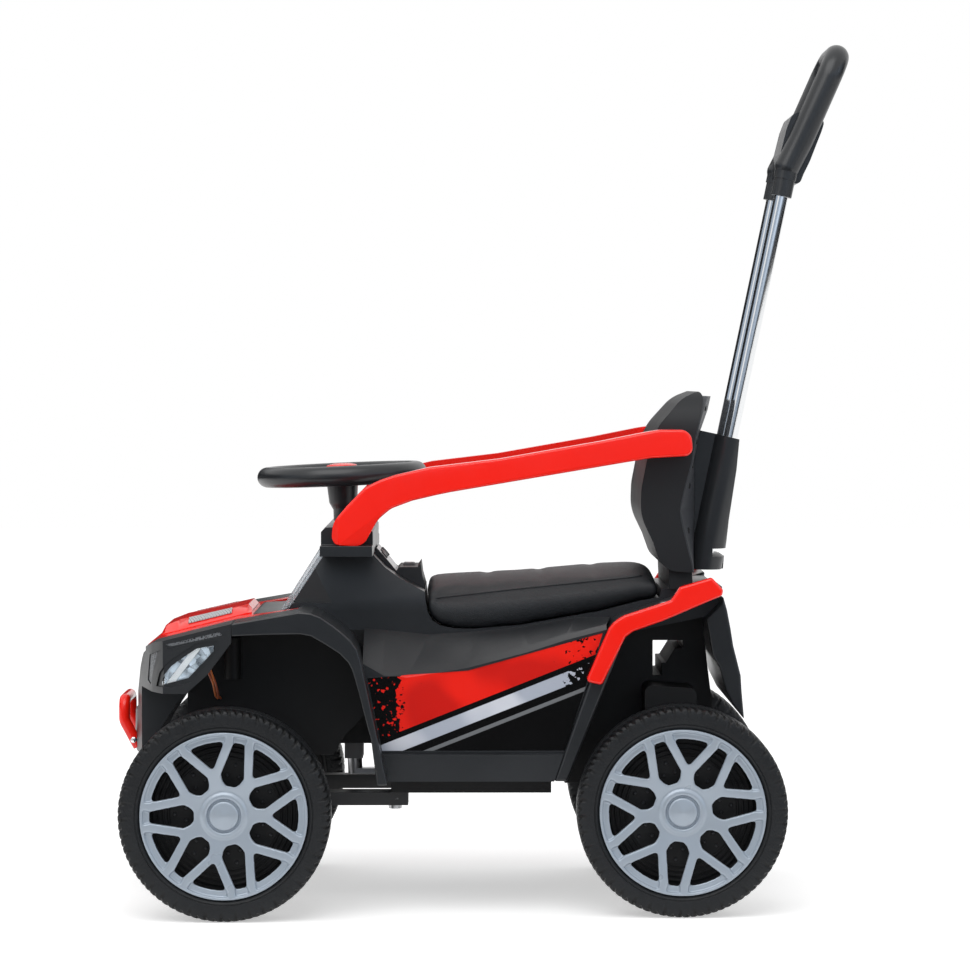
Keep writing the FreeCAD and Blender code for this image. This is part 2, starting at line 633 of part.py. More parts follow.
def knuckle():
    """Left knuckle: upright boss, stub axle with a head and a steering arm."""
    y = -KINGPIN_Y
    wheel_y = -FRONT_TRACK / 2
    low = AXLE_Z - BOSS_HALF
    centre = V(FRONT_AXLE_X, y, low)
    boss = Part.makeCylinder(BOSS_RADIUS, 2 * BOSS_HALF, centre)
    inner_face = wheel_y + TYRE_WIDTH / 2 + STUB_SHOULDER_GAP
    shoulder = rod(V(FRONT_AXLE_X, y, AXLE_Z), V(FRONT_AXLE_X, inner_face, AXLE_Z), STUB_SHOULDER_RADIUS)
    head_y = wheel_y - HUB_FACE - AXLE_HEAD_GAP
    stub = rod(V(FRONT_AXLE_X, y, AXLE_Z), V(FRONT_AXLE_X, head_y, AXLE_Z), AXLE_RADIUS)
    tip_y = head_y - AXLE_HEAD_LENGTH
    head = rod(V(FRONT_AXLE_X, head_y, AXLE_Z), V(FRONT_AXLE_X, tip_y, AXLE_Z), AXLE_HEAD_RADIUS)
    arm = arm_plate(FRONT_AXLE_X, y, KNUCKLE_ARM_Z)
    bore = Part.makeCylinder(KINGPIN_RADIUS + RUNNING_GAP, 2 * BOSS_HALF, centre)
    return boss.fuse([shoulder, stub, head, arm]).cut(bore).removeSplitter()


def front_axle_beam():
    """Cross beam with a fork for each kingpin."""
    x0 = FRONT_AXLE_X - BEAM_HALF
    x1 = FRONT_AXLE_X + BEAM_HALF
    neck = KINGPIN_Y - BOSS_RADIUS - LUG_THICKNESS
    low = AXLE_Z - BOSS_HALF - LUG_GAP
    high = AXLE_Z + BOSS_HALF + LUG_GAP
    beam = block(x0, x1, -neck, neck, AXLE_Z - RAIL_LOW, AXLE_Z + RAIL_HIGH)
    parts = []
    for sign in (-1, 1):
        tip = sign * (KINGPIN_Y + BOSS_RADIUS)
        root = sign * (neck - LUG_THICKNESS)
        y0 = min(tip, root)
        y1 = max(tip, root)
        parts.append(block(x0, x1, y0, y1, low - LUG_THICKNESS, low))
        parts.append(block(x0, x1, y0, y1, high, high + LUG_THICKNESS))
        w0 = min(root, sign * neck)
        w1 = max(root, sign * neck)
        parts.append(block(x0, x1, w0, w1, low - LUG_THICKNESS, high + LUG_THICKNESS))
    return beam.fuse(parts).cut(kingpin_shanks()).removeSplitter()


def kingpin_shanks():
    """Plain shanks of both kingpins."""
    low = AXLE_Z - BOSS_HALF - LUG_GAP - LUG_THICKNESS
    length = 2 * (AXLE_Z - low)
    return [Part.makeCylinder(KINGPIN_RADIUS, length, V(FRONT_AXLE_X, s * KINGPIN_Y, low)) for s in (-1, 1)]


def kingpins():
    """Two headed pins, one through each fork."""
    low = AXLE_Z - BOSS_HALF - LUG_GAP - LUG_THICKNESS
    high = 2 * AXLE_Z - low
    pins = []
    for sign, shank in zip((-1, 1), kingpin_shanks()):
        y = sign * KINGPIN_Y
        top = Part.makeCylinder(2 * KINGPIN_RADIUS, PIN_HEAD, V(FRONT_AXLE_X, y, high))
        foot = Part.makeCylinder(2 * KINGPIN_RADIUS, PIN_HEAD, V(FRONT_AXLE_X, y, low - PIN_HEAD))
        pins.append(shank.fuse([top, foot]).removeSplitter())
    return pins


def subframe_rail():
    """Left channel that joins the axle beam to the floor, with a bolt hole."""
    end = side([(RAIL_END_SHARE, 0)])[0][0]
    low = AXLE_Z - RAIL_LOW
    high = AXLE_Z + RAIL_HIGH
    rail = block(FRONT_AXLE_X + BEAM_HALF, end, -RAIL_OUTER, -RAIL_INNER, low, high)
    hollow = block(
        FRONT_AXLE_X + BEAM_HALF + WALL, end - WALL, -RAIL_OUTER + WALL, -RAIL_INNER - WALL, low, high - WALL)
    return rail.cut(hollow).cut(rail_bolt())


def rail_bolt():
    """Left bolt that holds the rail to the floor."""
    x = side([(BOLT_SHARE, 0)])[0][0]
    y = -(RAIL_INNER + RAIL_OUTER) / 2
    high = AXLE_Z + RAIL_HIGH
    shank = Part.makeCylinder(BOLT_RADIUS, high - (AXLE_Z - RAIL_LOW), V(x, y, AXLE_Z - RAIL_LOW))
    head = Part.makeCylinder(BOLT_HEAD, BOLT_NUT, V(x, y, AXLE_Z - RAIL_LOW - BOLT_NUT))
    return shank.fuse(head).removeSplitter()


# Body mouldings


FLOOR_FRONT_SHARE = 0.358
FLOOR_REAR_SHARE = 0.722
FLOOR_HALF = 148.0
FLOOR_THICKNESS = 4.0
BELLY_HALF = 96.0
SILL_RISE = 27.0
SKID_HALF = 50.0
SKID_DROP = 4.0
SKID_FRONT_SHARE = 0.445
SKID_REAR_SHARE = 0.71
NOTCH_HALF = 30.0
NOTCH_SHARE = 0.4
CAVITY_TOP_SHARE = 0.47
CAVITY_HALF = 146.0
LEDGE_LIFT_SHARE = 0.018
FILM_DEPTH = 0.8
FILM_SHARES = [
    (0.308, 0.515), (0.533, 0.546), (0.666, 0.612), (0.752, 0.660), (0.834, 0.697), (0.750, 0.222),
    (0.341, 0.222),
]
TAPER_START_SHARE = 0.8
TAPER_TOP_SHARE = 1.02
TAPER_INSET = 12.0
TAPER_BACK_SHARE = 0.443
FACET_FRONT_SHARE = 0.09
FACET_BACK_SHARE = 0.225
FACET_LOW_SHARE = 0.8
FACET_INSET = 26.0
COLUMN_ROOM = 5.0
TOWER_RADIUS = 9.0
TOWER_SHARES = [(-0.001, 0.49), (-0.001, 0.66)]


def floor_pan():
    """Tray under the body, with a flat skid and a notch for the steering link."""
    front = side([(FLOOR_FRONT_SHARE, 0)])[0][0]
    rear = side([(FLOOR_REAR_SHARE, 0)])[0][0]
    low = AXLE_Z + RAIL_HIGH
    top = BODY_Z + SILL_RISE + FLOOR_THICKNESS
    sheet = block(front, rear, -FLOOR_HALF, FLOOR_HALF, BODY_Z + SILL_RISE, top)
    belly = block(front, rear, -BELLY_HALF, BELLY_HALF, low, top)
    hollow = block(front + WALL, rear - WALL, -BELLY_HALF + WALL, BELLY_HALF - WALL, low + WALL, 2 * top)
    skid_front = side([(SKID_FRONT_SHARE, 0)])[0][0]
    skid_rear = side([(SKID_REAR_SHARE, 0)])[0][0]
    skid = block(skid_front, skid_rear, -SKID_HALF, SKID_HALF, low - SKID_DROP, low)
    notch_end = side([(NOTCH_SHARE, 0)])[0][0]
    notch = block(2 * FRONT_AXLE_X, notch_end, -NOTCH_HALF, NOTCH_HALF, 0, 2 * top)
    wall = block(
        notch_end, notch_end + WALL, -NOTCH_HALF - WALL, NOTCH_HALF + WALL, low, top)
    cheeks = [block(front, notch_end + WALL, s * (NOTCH_HALF + WALL / 2) - WALL / 2,
                    s * (NOTCH_HALF + WALL / 2) + WALL / 2, low, top) for s in (-1, 1)]
    pan = sheet.fuse(belly).cut(hollow).cut(notch)
    return pan.fuse([skid, wall] + cheeks).removeSplitter()


def front_bulkhead():
    """Box between the front wheels, hollow and open at the back, with a tower over each axle end."""
    box = wide(side(BULKHEAD_SHARES), CORE_HALF)
    hollow = wide(side(BULKHEAD_CAVITY_SHARES), CORE_HALF - WALL)
    keel = wide(side(BULKHEAD_KEEL_SHARES), CORE_HALF / 2)
    foot, head = side(TOWER_SHARES)
    rise = head[1] - foot[1]
    towers = [Part.makeCylinder(TOWER_RADIUS, rise, V(foot[0], s * CORE_HALF, foot[1])) for s in (-1, 1)]
    shell = box.fuse(towers).cut(hollow).fuse(keel)
    return shell.cut(column_hole(COLUMN_ROOM)).removeSplitter()


def rear_carrier():
    """Box between the rear wheels that carries the axle, with a see-through window."""
    box = wide(side(CARRIER_SHARES), CARRIER_HALF)
    hollow = wide(side(CARRIER_CAVITY_SHARES), CARRIER_HALF - WALL)
    window = wide(side(CARRIER_WINDOW_SHARES), 2 * CARRIER_HALF)
    return box.cut([hollow, window, axle_rod(0), body_core()]).removeSplitter()


def axle_rod(gap):
    """Plain rear axle, or the hole for it."""
    end = REAR_TRACK / 2 + HUB_FACE + AXLE_HEAD_GAP
    return rod(V(REAR_AXLE_X, -end, AXLE_Z), V(REAR_AXLE_X, end, AXLE_Z), AXLE_RADIUS + gap)


def rear_axle():
    """Steel rod with a head at each end."""
    end = REAR_TRACK / 2 + HUB_FACE + AXLE_HEAD_GAP
    tip = end + AXLE_HEAD_LENGTH
    heads = []
    for s in (-1, 1):
        heads.append(rod(V(REAR_AXLE_X, s * end, AXLE_Z), V(REAR_AXLE_X, s * tip, AXLE_Z), AXLE_HEAD_RADIUS))
    return axle_rod(0).fuse(heads).removeSplitter()


def shoulder():
    """Left side of the body: sloping shoulder, rounded ledge and upright panel."""
    outer = side(SIDE_OUTER_SHARES)
    top_count = len(SIDE_OUTER_SHARES) - 2
    lift = LEDGE_LIFT_SHARE * BODY_RISE
    ledge = [(x, z + lift) if i < top_count else (x, z) for i, (x, z) in enumerate(outer)]
    wires = [
        outline(side(SIDE_INNER_SHARES), -CORE_HALF), outline(ledge, -LEDGE_HALF), outline(outer, -SIDE_HALF),
    ]
    panel = Part.makeLoft(wires, True, True)
    return panel.fuse(prism(side(SILL_SHARES), -SILL_HALF, -LEDGE_HALF))


def console_taper():
    """Left wedge cut away so that the console narrows towards its top."""
    low = side([(0, TAPER_START_SHARE)])[0][1]
    high = side([(0, TAPER_TOP_SHARE)])[0][1]
    front = 2 * FRONT_AXLE_X
    back = side([(TAPER_BACK_SHARE, 0)])[0][0]
    corners = [V(front, -CORE_HALF, low), V(front, -CORE_HALF, high), V(front, TAPER_INSET - CORE_HALF, high)]
    return Part.Face(Part.makePolygon(corners + corners[:1])).extrude(V(back - front, 0, 0))


def console_facet(skin):
    """Left wedge cut away so that the console narrows towards its front, or that wedge a skin deeper."""
    front, low = side([(FACET_FRONT_SHARE, FACET_LOW_SHARE)])[0]
    back, high = side([(FACET_BACK_SHARE, TAPER_TOP_SHARE)])[0]
    edge = -2 * CORE_HALF
    near = skin - CORE_HALF
    corners = [(front, edge), (back, edge), (back, near), (front, near + FACET_INSET)]
    return plan_prism(corners, low - skin, high)


def body_core():
    """Middle of the body before it is hollowed: console, seat recess and rear deck."""
    cuts = [console_taper(), console_facet(0)]
    return wide(side(CORE_SHARES), CORE_HALF).cut(cuts + [mirrored(c) for c in cuts])


def body_shell():
    """Main moulding: console, seat deck, shoulders and sills, hollow from below."""
    panel = shoulder()
    body = body_core().fuse([panel, mirrored(panel)])
    deck_room = wide(side(CORE_CAVITY_SHARES), CORE_HALF - TAPER_INSET - WALL)
    facet = console_facet(WALL)
    deck_room = deck_room.cut([facet, mirrored(facet)])
    film = prism(side(FILM_SHARES), -SILL_HALF, FILM_DEPTH - SIDE_HALF)
    front = side([CORE_CAVITY_SHARES[0]])[0][0]
    rear = side([CORE_CAVITY_SHARES[-1]])[0][0]
    top = side([(0, CAVITY_TOP_SHARE)])[0][1]
    side_room = block(front, rear, -CAVITY_HALF, CAVITY_HALF, 0, top)
    cuts = [deck_room, side_room, column_hole(COLUMN_ROOM), film, mirrored(film)]
    for arch in (front_fender(), rear_fender()):
        cuts += [arch, mirrored(arch)]
    sheet_top = BODY_Z + SILL_RISE + FLOOR_THICKNESS
    tray = block(2 * FRONT_AXLE_X, 2 * REAR_AXLE_X, -FLOOR_HALF, FLOOR_HALF, 0, sheet_top)
    return body.cut(cuts + [tray]).removeSplitter()


def hood_space():
    """Room that the hood takes above the fenders and the fascia."""
    return wide(side(HOOD_SPACE_SHARES), HOOD_HALF)


FENDER_EDGE = 4.0
TRIM_EDGE = 3.0
OUTLINE_SOFT = 8.0


def front_fender():
    """Left wheel arch: thick flared band that runs in to the bulkhead."""
    band = soft_prism(side(FRONT_FENDER_SHARES), FENDER_EDGE / 2, -FENDER_HALF, -CORE_HALF)
    return band.cut([hood_space(), wheel_room(FRONT_AXLE_X, FRONT_TRACK)])


def rear_fender():
    """Left rear wheel arch."""
    band = prism(side(REAR_FENDER_SHARES), -REAR_HALF, -CORE_HALF)
    return band.cut(wheel_room(REAR_AXLE_X, REAR_TRACK))


def rear_trim():
    """Left red strip over the edge of the rear arch."""
    strip = soft_prism(side(REAR_TRIM_SHARES), OUTLINE_SOFT / 2, -TRIM_HALF, -REAR_HALF)
    return rounded_at(strip, -TRIM_HALF, TRIM_EDGE)


def tail_panel():
    """Sloping panel behind the rear wheels."""
    return wide(side(TAIL_SHARES), TAIL_HALF)


# Front of the body


FASCIA_PLAN_SHARES = [
    (-0.2395, -0.05), (-0.2395, 0.05), (-0.225, 0.28), (-0.200, 0.56), (-0.170, 0.83), (-0.1408, 0.96),
    (0.011, 1.0), (0.011, -1.0), (-0.1408, -0.96), (-0.170, -0.83), (-0.200, -0.56), (-0.225, -0.28),
]
HOOD_PLAN_SHARES = [
    (-0.1954, -0.45), (-0.1954, 0.45), (-0.1925, 0.75), (-0.186, 1.0), (0.1513, 1.0), (0.1513, 0.906),
    (0.044, 0.719), (0.044, -0.719), (0.1513, -0.906), (0.1513, -1.0), (-0.186, -1.0), (-0.1925, -0.75),
]
CHIN_HALF = 98.0
CHEEK = 8.0
FRAME_DEPTH = 1.4
MESH_DEPTH = 1.0
FRAME_SHARES = [
    (-0.158, 0.490), (-0.150, 0.545), (-0.133, 0.585), (-0.105, 0.620), (-0.068, 0.664), (-0.018, 0.678),
    (-0.015, 0.640), (-0.045, 0.575), (-0.078, 0.512), (-0.122, 0.490),
]
MESH_SHARES = [
    (-0.146, 0.638), (-0.177, 0.608), (-0.184, 0.503), (-0.174, 0.490), (-0.164, 0.560), (-0.146, 0.612),
]
BROW_SHARES = [(-0.137, 0.660), (-0.0155, 0.713), (-0.005, 0.695), (-0.063, 0.674), (-0.128, 0.638)]
CHIN_TOP_SHARE = 0.464
LENS_SKIN = 2.5
LENS_INNER = 140.0
REFLECTOR_DEPTH = 18.0
GRILLE_HALF = 64.0
GRILLE_SHARES = [(-0.2125, 0.355), (-0.2125, 0.530), (-0.2062, 0.530), (-0.2062, 0.355)]
GRILLE_COLUMNS = 7
GRILLE_ROWS = 3
GRILLE_CELL_SHARE = 0.4
SCOOP_HALF = 72.0
SCOOP_TOP_HALF = 50.0
VENT_SPAN_SHARES = (0.14, 0.78)
VENT_RISE_SHARES = (0.35, 0.88)
VENT_GAP = 0.3
VENT_THICKNESS = 1.5
SCREEN_HALF = 80.0
SCREEN_SKIN = 3.0
BULL_RADIUS = 6.0
BULL_HALF = 38.0
BULL_BEND = 14.0
BULL_SHARES = [(-0.226, 0.192), (-0.2584, 0.300), (-0.2584, 0.385)]
LEAD_RADIUS = 1.2
LEAD_BEND = 12.0
LEAD_SHARES = [(-0.055, 0.61), (-0.046, 0.558), (-0.035, 0.494), (-0.034, 0.432), (-0.034, 0.41)]
LEAD_Y_SHARES = (0.84, 0.76, 0.615, 0.31, -0.02)


def fascia_skin(depth):
    """Front volume, or the same volume set back by a depth: side outline crossed with top outline."""
    across = wide(side(FASCIA_SIDE_SHARES), FENDER_HALF)
    plan = [(BODY_X + a * BODY_SPAN, b * FENDER_HALF) for a, b in FASCIA_PLAN_SHARES]
    top = side([FASCIA_SIDE_SHARES[10]])[0][1]
    shell = across.common(plan_prism(plan_inset(plan, depth), 0, 2 * top))
    return shell


def plan_inset(points, depth):
    """Top outline with each edge moved inward by a depth."""
    count = len(points)
    moved = []
    for i in range(count):
        a = V(*points[i - 1], 0)
        b = V(*points[i], 0)
        c = V(*points[(i + 1) % count], 0)
        u = (b - a).normalize()
        w = (c - b).normalize()
        inward_u = V(u.y, -u.x, 0)
        inward_w = V(w.y, -w.x, 0)
        across = inward_u + inward_w
        shift = across * (2 * depth / across.dot(across))
        moved.append((b.x + shift.x, b.y + shift.y))
    return moved


def lens_room():
    """Left opening for the headlamp."""
    return prism(side(LENS_SHARES), -FENDER_HALF, -LENS_INNER)


def recess(shares, depth):
    """Left shallow recess in the front, of even depth."""
    outer = fascia_skin(0).common(prism(side(shares), -FENDER_HALF, -LENS_INNER))
    return outer.cut(fascia_skin(depth))


def grille_opening():
    """Opening in the front for the grille."""
    points = side(GRILLE_SHARES)
    front = 2 * FRONT_AXLE_X
    return block(front, points[2][0], -GRILLE_HALF, GRILLE_HALF, points[0][1], points[1][1])


def front_fascia():
    """Bumper mask with wheel clearance, lamp openings and a grille opening."""
    skin = fascia_skin(0)
    room = wide(side(FASCIA_CAVITY_SHARES), FENDER_HALF)
    plan = [(BODY_X + a * BODY_SPAN, b * FENDER_HALF) for a, b in FASCIA_PLAN_SHARES]
    inset = plan_inset(plan, WALL)
    inset[6:8] = [(0, inset[6][1]), (0, inset[7][1])]
    hollow = room.common(plan_prism(inset, 0, 2 * COLUMN_Z))
    chin_top = side([(0, CHIN_TOP_SHARE)])[0][1]
    cheek = block(2 * FRONT_AXLE_X, 0, CHIN_HALF - CHEEK, CHIN_HALF, 0, chin_top)
    hollow = hollow.cut([cheek, mirrored(cheek)])
    arch = block(2 * FRONT_AXLE_X, 0, CHIN_HALF, FENDER_HALF, 0, chin_top)
    pairs = [arch, lens_room(), recess(FRAME_SHARES, FRAME_DEPTH)]
    pairs += [recess(MESH_SHARES, MESH_DEPTH), recess(BROW_SHARES, MESH_DEPTH)]
    cuts = [hollow, hood_space(), grille_opening(), bull_bar(), hood()]
    cuts += [wide(side(BULKHEAD_SHARES), CORE_HALF)] + pairs + [mirrored(c) for c in pairs]
    return skin.cut(cuts).removeSplitter()


def headlamp_lens():
    """Left clear lens, flush with the fascia."""
    inner = fascia_skin(LENS_SKIN)
    return fascia_skin(0).common(lens_room()).cut(inner)


def headlamp_reflector():
    """Left bright bowl behind the lens."""
    outer = fascia_skin(LENS_SKIN + FREE_GAP).common(lens_room())
    return outer.cut(fascia_skin(LENS_SKIN + FREE_GAP + REFLECTOR_DEPTH))


def grille():
    """Plate with rows of six-sided holes."""
    points = side(GRILLE_SHARES)
    plate = block(points[0][0], points[2][0], -GRILLE_HALF, GRILLE_HALF, points[0][1], points[1][1])
    pitch = 2 * GRILLE_HALF / (GRILLE_COLUMNS + 1)
    rise = (points[1][1] - points[0][1]) / GRILLE_ROWS
    cell = GRILLE_CELL_SHARE * pitch
    cuts = []
    for row in range(GRILLE_ROWS):
        z = points[0][1] + (row + 1 / 2) * rise
        for column in range(GRILLE_COLUMNS):
            y = -GRILLE_HALF + (column + 1) * pitch
            corners = []
            for k in range(6):
                angle = k * math.tau / 6
                corners.append(V(points[0][0], y + cell * math.sin(angle), z + cell * math.cos(angle)))
            face = Part.Face(Part.makePolygon(corners + corners[:1]))
            cuts.append(face.extrude(V(points[2][0] - points[0][0], 0, 0)))
    return plate.cut(cuts)


def hood():
    """Red hood: sheet with side lips and a raised scoop."""
    plan = [(BODY_X + a * BODY_SPAN, b * HOOD_HALF) for a, b in HOOD_PLAN_SHARES]
    sheet = wide(side(HOOD_SHARES), HOOD_HALF).common(plan_prism(plan, 0, 2 * COLUMN_Z))
    low = side(SCOOP_LOW_SHARES)
    full = side(SCOOP_SHARES)
    wires = [
        outline(low, -SCOOP_HALF), outline(full, -SCOOP_TOP_HALF),
        outline(full, SCOOP_TOP_HALF), outline(low, SCOOP_HALF),
    ]
    return sheet.fuse(Part.makeLoft(wires, True, True)).cut(body_core()).removeSplitter()


def hood_vent():
    """Left plain vent strip on the slope of the scoop."""
    low = side(SCOOP_LOW_SHARES[2:4])
    full = side(SCOOP_SHARES[2:4])
    wires = []
    for rise in VENT_RISE_SHARES:
        y = -(SCOOP_HALF + rise * (SCOOP_TOP_HALF - SCOOP_HALF))
        ends = []
        for span in VENT_SPAN_SHARES:
            base = low[0][1] + span * (low[1][1] - low[0][1])
            crest = full[0][1] + span * (full[1][1] - full[0][1])
            ends.append((low[0][0] + span * (low[1][0] - low[0][0]), base + rise * (crest - base)))
        (xa, za), (xb, zb) = ends
        low_edge = [(xa, za + VENT_GAP), (xb, zb + VENT_GAP)]
        high_edge = [(xb, zb + VENT_THICKNESS), (xa, za + VENT_THICKNESS)]
        wires.append(outline(low_edge + high_edge, y))
    return Part.makeLoft(wires, True, True)


def windscreen():
    """Clear moulded screen, a shallow tray against the front of the console."""
    body = wide(side(WINDSCREEN_SHARES), SCREEN_HALF)
    room = wide(side(WINDSCREEN_CAVITY_SHARES), SCREEN_HALF - SCREEN_SKIN)
    return body.cut([room, body_core(), console_collar()])


def bull_bar():
    """Red hoop in front of the bumper."""
    points = side(BULL_SHARES)
    left = [V(x, -BULL_HALF, z) for x, z in points]
    right = [V(x, BULL_HALF, z) for x, z in reversed(points)]
    return swept(left + right, BULL_BEND, BULL_RADIUS)


def lamp_lead():
    """Left two-strand lead from the headlamp to the bulkhead."""
    strands = []
    for k in (0, 1):
        points = side(LEAD_SHARES)
        corners = [
            V(x + k * (2 * LEAD_RADIUS + BUTTON_GAP), -CORE_HALF - share * (FENDER_HALF - CORE_HALF), z)
            for (x, z), share in zip(points, LEAD_Y_SHARES)
        ]
        strand = swept(corners, LEAD_BEND, LEAD_RADIUS)
        strands.append(strand.cut([headlamp_reflector(), front_bulkhead()]))
    return strands


# Cockpit


COLLAR_HALF = 122.0
COLLAR_LIP_HALF = 152.0
DASH_HALF = 46.0
BUTTON_RADIUS = 6.0
BUTTON_HEIGHT = 5.0
BUTTON_PROUD = 2.5
BUTTON_TRAVEL = 1.5
BUTTON_Y = 22.0
ROCKER_LENGTH = 12.0
ROCKER_WIDTH = 20.0
ROCKER_HEIGHT = 7.0
ROCKER_PROUD = 3.0
ROCKER_GAP = 1.6
BACK_SOFT = 60.0
BACK_EDGE = 6.0
BACK_REAR_HALF = 104.0
GUARD_SOFT = 26.0
BORE_GAP = 0.3
FOOT_FACET_SHARES = [(0.34, 1.18), (0.236, 1.035), (0.33, 0.985)]
FRONT_FACET_SHARES = [(0.222, 1.03), (0.243, 1.16)]


def console_collar():
    """Block on top of the console that guides the column and carries the guard bars."""
    body = wide(side(COLLAR_SHARES), COLLAR_HALF)
    lip = wide(side(COLLAR_LIP_SHARES), COLLAR_LIP_HALF)
    return body.fuse(lip).cut(column_hole(FREE_GAP)).removeSplitter()


def dash_face():
    """Middle and outward direction of the dash face."""
    (xa, za), (xb, zb) = side(DASH_FACE_SHARES)
    upper = V(xa, 0, za)
    lower = V(xb, 0, zb)
    along = (lower - upper).normalize()
    return (upper + lower) / 2, V(-along.z, 0, along.x)


def dash_panel():
    """Sloping dash with a hooded pod, a button pocket and a rocker pocket."""
    panel = wide(side(DASH_SHARES), DASH_HALF)
    middle, out = dash_face()
    seat = middle + V(0, BUTTON_Y, 0) - out * BUTTON_HEIGHT
    pocket = Part.makeCylinder(BUTTON_RADIUS + BUTTON_GAP, 2 * BUTTON_HEIGHT, seat, out)
    x, z = rocker_place()
    room = block(
        x - ROCKER_LENGTH / 2 - ROCKER_GAP / 2, x + ROCKER_LENGTH / 2 + ROCKER_GAP / 2,
        -ROCKER_WIDTH / 2 - BUTTON_GAP, ROCKER_WIDTH / 2 + BUTTON_GAP,
        z - ROCKER_HEIGHT + ROCKER_PROUD - ROCKER_GAP, z + ROCKER_HEIGHT)
    return panel.cut([pocket, room, body_core(), console_collar()]).removeSplitter()


def power_button():
    """Round push button on the dash."""
    middle, out = dash_face()
    foot = middle + V(0, BUTTON_Y, 0) - out * (BUTTON_HEIGHT - BUTTON_PROUD)
    return Part.makeCylinder(BUTTON_RADIUS, BUTTON_HEIGHT, foot, out)


def rocker_place():
    """Middle of the flat top of the pod."""
    return side([ROCKER_SHARES])[0]


def direction_rocker():
    """Rocker switch in the pod."""
    x, z = rocker_place()
    return block(
        x - ROCKER_LENGTH / 2, x + ROCKER_LENGTH / 2, -ROCKER_WIDTH / 2, ROCKER_WIDTH / 2,
        z - ROCKER_HEIGHT + ROCKER_PROUD, z + ROCKER_PROUD)


def foot_facet():
    """Wedge cut away so that the side of the bar turns inward below its bend."""
    a, b, c = [V(x, -GUARD_OUTER, z) for x, z in side(FOOT_FACET_SHARES)]
    d = c + V(0, GUARD_FACET, 0)
    faces = []
    for p, q, r in ((a, b, c), (a, b, d), (b, c, d), (a, c, d)):
        faces.append(Part.Face(Part.makePolygon([p, q, r, p])))
    return Part.Solid(Part.makeShell(faces))


def front_facet():
    """Wedge cut from the front edge of the foot of the bar."""
    (x, low), (back, high) = side(FRONT_FACET_SHARES)
    corners = [(x, -GUARD_OUTER), (back, -GUARD_OUTER), (x, GUARD_FACET - GUARD_OUTER)]
    return plan_prism(corners, low, high)


def guard_bar():
    """Left red guard bar, turned in to the backrest at its back end."""
    bar = soft_prism(side(GUARD_SHARES), GUARD_SOFT, -GUARD_OUTER, -GUARD_INNER)
    bar = rounded_at(bar, -GUARD_OUTER, GUARD_EDGE).cut([foot_facet(), front_facet()])
    turn_in = prism(side(GUARD_END_SHARES), -GUARD_INNER, -BACK_HALF)
    return bar.fuse(turn_in).removeSplitter()


def back_front_view(half, rise_shares):
    """Outline of the backrest seen from the front, carried along X."""
    low = side([(0, rise_shares[0])])[0][1]
    high = side([(0, rise_shares[1])])[0][1]
    corners = [V(0, -half, low), V(0, half, low), V(0, half, high), V(0, -half, high)]
    return Part.Face(soft_wire(corners, BACK_SHOULDER)).extrude(V(2 * REAR_AXLE_X, 0, 0))


BACK_RISE_SHARES = (0.6, 1.67)
BACK_PLATE_EDGE = 2.0


def backrest_front():
    """Deep front shell of the backrest with the plug that stands on the deck."""
    shell = soft_prism(side(BACK_FRONT_SHARES), BACK_SOFT, -BACK_HALF, BACK_HALF)
    shell = shell.common(back_front_view(BACK_HALF, BACK_RISE_SHARES))
    plug = wide(side(BACK_PLUG_SHARES), BACK_REAR_HALF)
    return shell.fuse(plug).cut(body_core()).removeSplitter()


def backrest_rear():
    """Rear cover of the backrest: plate that slopes in from the rim to the tube holder."""
    seam = side(BACK_SEAM_SHARES)
    rim = [(x + BACK_PLATE_EDGE, z) for x, z in reversed(seam)]
    lines = zip(BACK_LINE_SHARES, BACK_SEAM_SHARES)
    back = side([(a, b) for a, (front, b) in lines])
    back.reverse()
    wires = [
        outline(seam + rim, -BACK_REAR_HALF), outline(seam + back, -HOLDER_BODY_HALF),
        outline(seam + back, HOLDER_BODY_HALF), outline(seam + rim, BACK_REAR_HALF),
    ]
    plate = Part.makeLoft(wires, True, True)
    plate = plate.common(back_front_view(BACK_REAR_HALF, BACK_RISE_SHARES))
    return plate.cut([backrest_front(), body_core()])


# Push handle


TUBE_FOOT_SHARES = (1.0767, 0.9698)
GRIP_LOOP_SHARES = [(0.0, 0.0), (0.12, 0.235), (0.458, 1.0)]
GRIP_WEB_SHARES = [
    (-0.076, -0.118), (0.113, -0.158), (0.148, -0.066), (0.205, 0.050), (0.312, 0.325), (0.336, 0.405),
    (0.290, 0.455), (0.125, 0.500), (0.044, 0.472), (-0.004, 0.349), (-0.060, 0.122),
]
GRIP_BEND = 26.0
GRIP_RISE = 121.0
GRIP_WEB_HALF = 44.0
GRIP_SLEEVE = 11.3
GRIP_SLEEVE_DEPTH = 33.0
GRIP_COLLAR = 12.4
GRIP_COLLAR_DEPTH = 14.0


def tube_line(sign):
    """Foot and direction of one handle tube."""
    x, z = side([TUBE_FOOT_SHARES])[0]
    lean = math.radians(HANDLE_LEAN)
    return V(x, sign * TUBE_SPACING / 2, z), V(math.sin(lean), 0, math.cos(lean))


def handle_tube(sign, gap, length):
    """One tube, or the bore for it."""
    foot, up = tube_line(sign)
    return Part.makeCylinder(TUBE_RADIUS + gap, length, foot, up)


